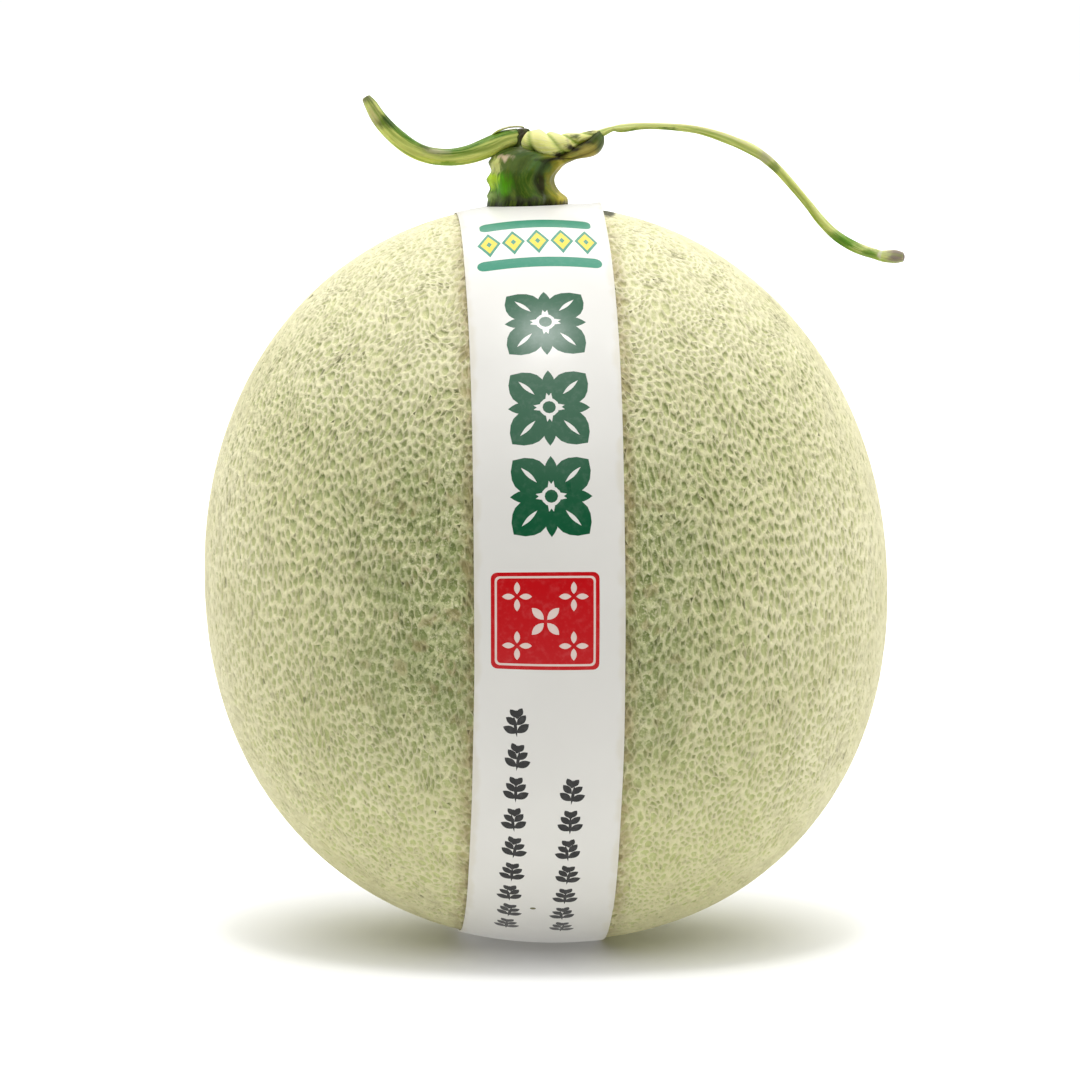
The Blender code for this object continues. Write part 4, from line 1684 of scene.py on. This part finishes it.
@dataclass
class FruitStalk:
    """The squat trunk whose right flank runs on into a lip under the vine stub."""

    inner: tuple[Flat, ...] = (
        (4.4, 160.6), (4.7, 162.6), (4.5, 164.1), (2.9, 165.6), (1.8, 167.3), (2.0, 169.1),
        (3.3, 170.8), (4.3, 171.6), (5.0, 172.0), (5.7, 172.3), (6.5, 172.6), (7.5, 172.8),
        (8.8, 173.0), (10.7, 173.5), (12.0, 174.5), (12.8, 176.0), (12.9, 177.2),
    )
    outer: tuple[Flat, ...] = (
        (-12.9, 160.6), (-13.0, 162.6), (-12.7, 164.3), (-12.5, 166.1), (-12.5, 168.2),
        (-12.4, 170.2), (-12.2, 172.3), (-11.2, 174.4), (-7.6, 175.5), (-3.9, 174.9),
        (-1.3, 173.6), (1.5, 173.4),
        (4.0, 174.5), (7.0, 176.2), (9.7, 177.7), (11.0, 178.6), (11.8, 179.0),
    )
    scallops: tuple[Point, ...] = (
        (164.6, 0.25, 0.5), (166.2, -0.25, 0.6), (168.2, 0.65, 0.8), (170.1, -0.35, 0.6),
        (172.0, 0.5, 0.7),
    )
    scallops_left_of: float = -6.0
    depth: tuple[float, ...] = (
        8.5, 8.7, 8.6, 8.1, 7.8, 7.4, 7.0, 6.6, 6.0, 5.0, 4.2, 3.6, 3.1, 2.7, 2.4, 2.0, 1.2,
    )
    fibres: Fibres = Fibres(ribs=9, rib_depth=0.022, fine_depth=0.012, knobs=0.012, seed=21)
    crease_angle: float = math.radians(62.0)
    crease_width: float = 0.13
    crease_depth: float = 0.08
    crease_length: float = 26.0
    boxiness: float = 2.5
    seat_shadow_turn: Flat = (0.20, 0.35)
    seat_shadow_start: Flat = (12.5, 1.5)
    segments: int = 96
    rows: int = 110
    node: Shoot = Shoot(
        route=(
            (-5.1, -1.4, 172.6, 2.2), (-5.1, -1.4, 175.4, 1.9), (-5.2, -1.0, 177.6, 2.0),
            (-5.3, -0.9, 179.2, 1.5),
        ),
        fibres=Fibres(ribs=6, rib_depth=0.08, seed=3), segments=28, rows=24, bulge=(0.1, 0.2),
    )
    finish: StemFinish = StemFinish(
        name="stalk_green",
        above=seen(98, 122, 50), beside=seen(62, 92, 2), below=seen(58, 84, 4),
        streak=seen(98, 116, 34), groove=seen(40, 40, 4), cut=seen(96, 92, 66),
        streak_share=0.75,
        patches=(
            Patch((3.6, -5.0, 169.6), (4.4, 10.0, 13.0), seen(150, 142, 34), 0.9),
            Patch((3.2, -3.0, 168.0), (0.9, 8.0, 9.0), seen(212, 196, 84), 0.7),
            # Painted shade in the crease on the trunk's front.
            Patch((-0.9, -6.5, 168.0), (0.9, 6.0, 5.0), seen(46, 44, 6), 0.9),
            Patch((0.4, -5.0, 171.6), (1.1, 5.0, 1.5), seen(46, 44, 6), 0.85),
            Patch((4.6, -3.0, 163.9), (2.6, 7.0, 2.4), seen(196, 180, 48), 0.8),
            Patch((9.5, -1.5, 174.3), (4.4, 5.0, 2.6), seen(186, 170, 86), 0.95),
            Patch((12.3, -1.0, 175.2), (1.6, 4.0, 2.6), seen(104, 118, 78), 0.9),
            Patch((-7.0, -6.0, 171.8), (6.0, 5.0, 1.7), seen(112, 128, 70), 0.5),
            Patch((-1.0, -6.0, 171.3), (3.0, 4.0, 2.0), seen(88, 124, 62), 0.8),
            Patch((-9.9, -5.0, 167.2), (3.0, 7.0, 2.6), seen(88, 160, 0), 1.0),
            Patch((-11.8, -4.0, 168.2), (1.7, 7.0, 2.2), seen(184, 222, 36), 1.0),
            Patch((-11.2, -4.6, 171.4), (1.3, 6.0, 2.2), seen(228, 232, 140), 0.95),
            Patch((-12.0, -4.0, 164.6), (1.3, 6.0, 1.3), seen(150, 178, 92), 0.8),
            Patch((-9.2, -6.0, 173.2), (2.2, 5.0, 0.8), seen(222, 196, 162), 0.9),
            Patch((-0.5, -7.6, 164.4), (0.6, 3.0, 1.4), seen(134, 146, 112), 0.8),
            Patch((-4.5, -8.5, 163.9), (5.5, 4.0, 0.9), seen(58, 54, 40), 0.7),
            Patch((4.2, -2.0, 163.8), (1.5, 5.0, 1.0), seen(186, 172, 60), 0.9),
            # Painted shadow round the foot, where the trunk meets the band.
            Patch((-4.2, 0.0, 162.7), (15.0, 15.0, 1.35), seen(22, 20, 4), 1.0),
            # Painted shadow on the lip, under the vine stub.
            Patch((-1.2, -4.4, 172.6), (2.8, 3.0, 0.7), seen(40, 34, 6), 0.95),
            Patch((2.6, -3.8, 173.0), (2.4, 3.0, 0.7), seen(40, 34, 6), 0.95),
            Patch((5.6, -2.6, 174.9), (2.4, 3.0, 0.7), seen(40, 34, 6), 0.95),
            Patch((8.4, -2.0, 176.6), (2.2, 3.0, 0.7), seen(40, 34, 6), 0.95),
            # Painted shade in the crevice, on the node between the arm and the stub.
            Patch((-5.2, -2.0, 177.8), (1.6, 3.5, 2.8), seen(62, 56, 36), 1.0),
            Patch((-5.2, -2.5, 174.9), (1.9, 4.0, 0.7), seen(176, 186, 140), 0.8),
        ),
    )

    def trunk(self) -> Rings:
        """Draws the rings from the foot, up the trunk and out into the lip."""
        table = np.column_stack((np.array(self.inner), np.array(self.outer), np.array(self.depth)))
        line = eased(table, self.rows)
        inner = np.column_stack((line[:, 0], np.zeros(self.rows), line[:, 1]))
        outer = np.column_stack((line[:, 2], np.zeros(self.rows), line[:, 3]))
        middle, half = (inner + outer) / 2.0, (inner - outer) / 2.0
        steps = np.linalg.norm(np.diff(inner, axis=0), axis=1)
        far = np.concatenate(([0.0], np.cumsum(steps)))
        angle = np.linspace(0.0, math.tau, self.segments, endpoint=False)
        around, along = np.meshgrid(angle, far)
        shape, groove = self.fibres.relief(around, along)
        bend = (around - self.crease_angle + math.pi) % math.tau - math.pi
        mirror = (around + self.crease_angle + math.pi) % math.tau - math.pi
        crease = np.exp(-((bend / self.crease_width) ** 2))
        crease = crease + np.exp(-((mirror / self.crease_width) ** 2))
        blend = np.clip(1.2 - along / self.crease_length, 0.4, 1.0)
        right, out = np.cos(around), np.sin(around)
        boxy = np.abs(right) ** self.boxiness + np.abs(out) ** self.boxiness
        swell = (shape - self.crease_depth * crease * blend) * boxy ** (-1.0 / self.boxiness)
        points = middle[:, None] + (right * swell)[..., None] * half[:, None]
        points[..., 1] -= out * swell * line[:, 4][:, None]
        outside = np.clip(-right, 0.0, 1.0) ** 5
        for height, bump, reach in self.scallops:
            near = np.exp(-(((points[..., 2] - height) / reach) ** 2))
            points[..., 0] -= bump * near * outside * (points[..., 0] < self.scallops_left_of)
        # Painted shadow on the lip, where the vine stub lies on it.
        seat_shadow = np.clip((-right - self.seat_shadow_turn[0]) / self.seat_shadow_turn[1], 0.0, 1.0)
        seat_shadow = seat_shadow * np.clip((along - self.seat_shadow_start[0]) / self.seat_shadow_start[1], 0.0, 1.0)
        # Painted shade in each groove and crease and under the stub, which the material reads
        # under the name groove.
        groove_crease_seat_shade = np.clip(0.45 * groove + crease * blend + seat_shadow, 0.0, 1.0)
        return Rings(points / PER_METRE, around, along, groove_crease_seat_shade, (0.0, 0.0), (0.0, 0.3))

    def build(self) -> bpy.types.Object:
        """Grows the stalk and lets it stand for its solid."""
        piece = lofted("stalk_trunk", [self.trunk(), self.node.rings()], self.finish.build())
        return deliver(piece, "fruit_stalk")


@dataclass(frozen=True)
class SoftSun:
    """A wide soft light from far away, which faces the fruit."""

    name: str
    azimuth: float
    elevation: float
    width: float
    strength: float


@dataclass
class Studio:
    """A pale floor, soft light and the camera."""

    aim: Point = (-0.00133, 0.0, 0.0882)
    distance: float = 1.3
    elevation: float = math.radians(5.0)
    focal_length: float = 195.0
    floor_side: float = 40.0
    room_front: float = 0.0
    room_sides: float = 1.56
    room_back: float = 0.80
    floor_bounce: float = 0.68
    floor_glow: float = 0.27
    floor_view_glow: float = 0.36
    floor_colour: Colour = (0.74, 0.74, 0.74)
    front_fade: tuple[float, ...] = (-0.40, -0.13, 0.22, 1.0)
    view_glow_span: Flat = (0.045, 0.115)
    front_span: Flat = (-0.85, 0.05)
    back_span: Flat = (0.25, 0.95)
    sky: float = 1.02
    sensor_width: float = 36.0
    suns: tuple[SoftSun, ...] = (
        SoftSun("key_light", 4.0, 77.0, 12.0, 1.05),
        SoftSun("front_light", 4.0, 50.0, 44.0, 1.0),
        SoftSun("back_light", 176.0, 50.0, 40.0, 0.6),
    )

    def floor(self) -> bpy.types.Object:
        """Lays the pale floor, which glows: near the front it glows for every ray but the
        camera's, a painted fill light, and for the camera it glows more away from the fruit, a
        painted light that keeps the fruit's shadow small.
        """
        half = self.floor_side / 2.0
        mesh = bpy.data.meshes.new("floor")
        corners = [(x * half, y * half, 0.0) for x, y in ((-1, -1), (1, -1), (1, 1), (-1, 1))]
        mesh.from_pydata(corners, [], [(0, 1, 2, 3)])
        floor = new_piece("floor", mesh)
        finish = Finish("pale_floor", Gloss(roughness=0.8, specular=0.1))
        sheet = finish.sheet
        in_view = sheet.add("ShaderNodeLightPath").outputs["Is Camera Ray"]
        place = sheet.object_place()
        near = sheet.between(sheet.split(place)[1], *self.front_fade)
        bounce = sheet.times(near, self.floor_bounce)
        finish.coloured(sheet.mix(in_view, bounce, self.floor_colour))
        finish.shader.inputs["Emission Color"].default_value = (1.0, 1.0, 1.0, 1.0)
        # Painted light: for the camera the floor glows more away from the fruit, and for other
        # rays it glows near the front.
        lift = sheet.between(sheet.vector("LENGTH", place), *self.view_glow_span, 0.0, self.floor_view_glow)
        unseen = sheet.math("SUBTRACT", 1.0, in_view)
        sheet.feed(finish.shader.inputs["Emission Strength"], sheet.line(
            sheet.times(near, unseen), self.floor_glow, sheet.times(lift, in_view)))
        mesh.materials.append(finish.material)
        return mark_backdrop(floor)

    def light(self) -> None:
        """Hangs the soft lights and sets the pale surroundings."""
        for sun in self.suns:
            data = bpy.data.lights.new(sun.name, "SUN")
            data.angle = math.radians(sun.width)
            data.energy = sun.strength
            thing = bpy.data.objects.new(sun.name, data)
            turn, up = math.radians(sun.azimuth), math.radians(sun.elevation)
            towards = Vector((
                math.sin(turn) * math.cos(up), -math.cos(turn) * math.cos(up), math.sin(up)))
            thing.rotation_euler = (-towards).to_track_quat("-Z", "Y").to_euler()
            bpy.context.scene.collection.objects.link(thing)
        world = bpy.data.worlds.new("pale_room")
        world.use_nodes = True
        sheet = NodeSheet(world.node_tree)
        glow = world.node_tree.nodes["Background"]
        glow.inputs["Color"].default_value = (1.0, 1.0, 1.0, 1.0)
        in_view = sheet.add("ShaderNodeLightPath").outputs["Is Camera Ray"]
        depth = sheet.split(sheet.add("ShaderNodeTexCoord").outputs["Generated"])[1]
        room = sheet.math(
            "MINIMUM", sheet.between(depth, *self.front_span, self.room_front, self.room_sides),
            sheet.between(depth, *self.back_span, self.room_sides, self.room_back))
        sheet.feed(glow.inputs["Strength"], sheet.math(
            "MAXIMUM", room, sheet.times(in_view, self.sky)))
        bpy.context.scene.world = world

    def look(self) -> None:
        """Sets the camera where the photograph was taken from."""
        data = bpy.data.cameras.new("camera")
        data.lens = self.focal_length
        data.sensor_width = self.sensor_width
        camera = bpy.data.objects.new("camera", data)
        away = Vector((0.0, -math.cos(self.elevation), math.sin(self.elevation)))
        camera.location = Vector(self.aim) + away * self.distance
        camera.rotation_euler = (-away).to_track_quat("-Z", "Y").to_euler()
        bpy.context.scene.collection.objects.link(camera)
        bpy.context.scene.camera = camera
        bpy.context.scene.view_settings.view_transform = "Standard"

    def build(self) -> None:
        """Sets the whole studio."""
        self.floor()
        self.light()
        self.look()


def main() -> None:
    """Builds the pieces in order."""
    logging.basicConfig(level=logging.INFO, format="%(name)s: %(message)s")
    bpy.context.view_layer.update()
    Fruit().build()
    PaperBand().build()
    FruitStalk().build()
    VineStub().build()
    LeafStalk().build()
    Tendril().build()
    Studio().build()


if __name__ == "__main__":
    main()
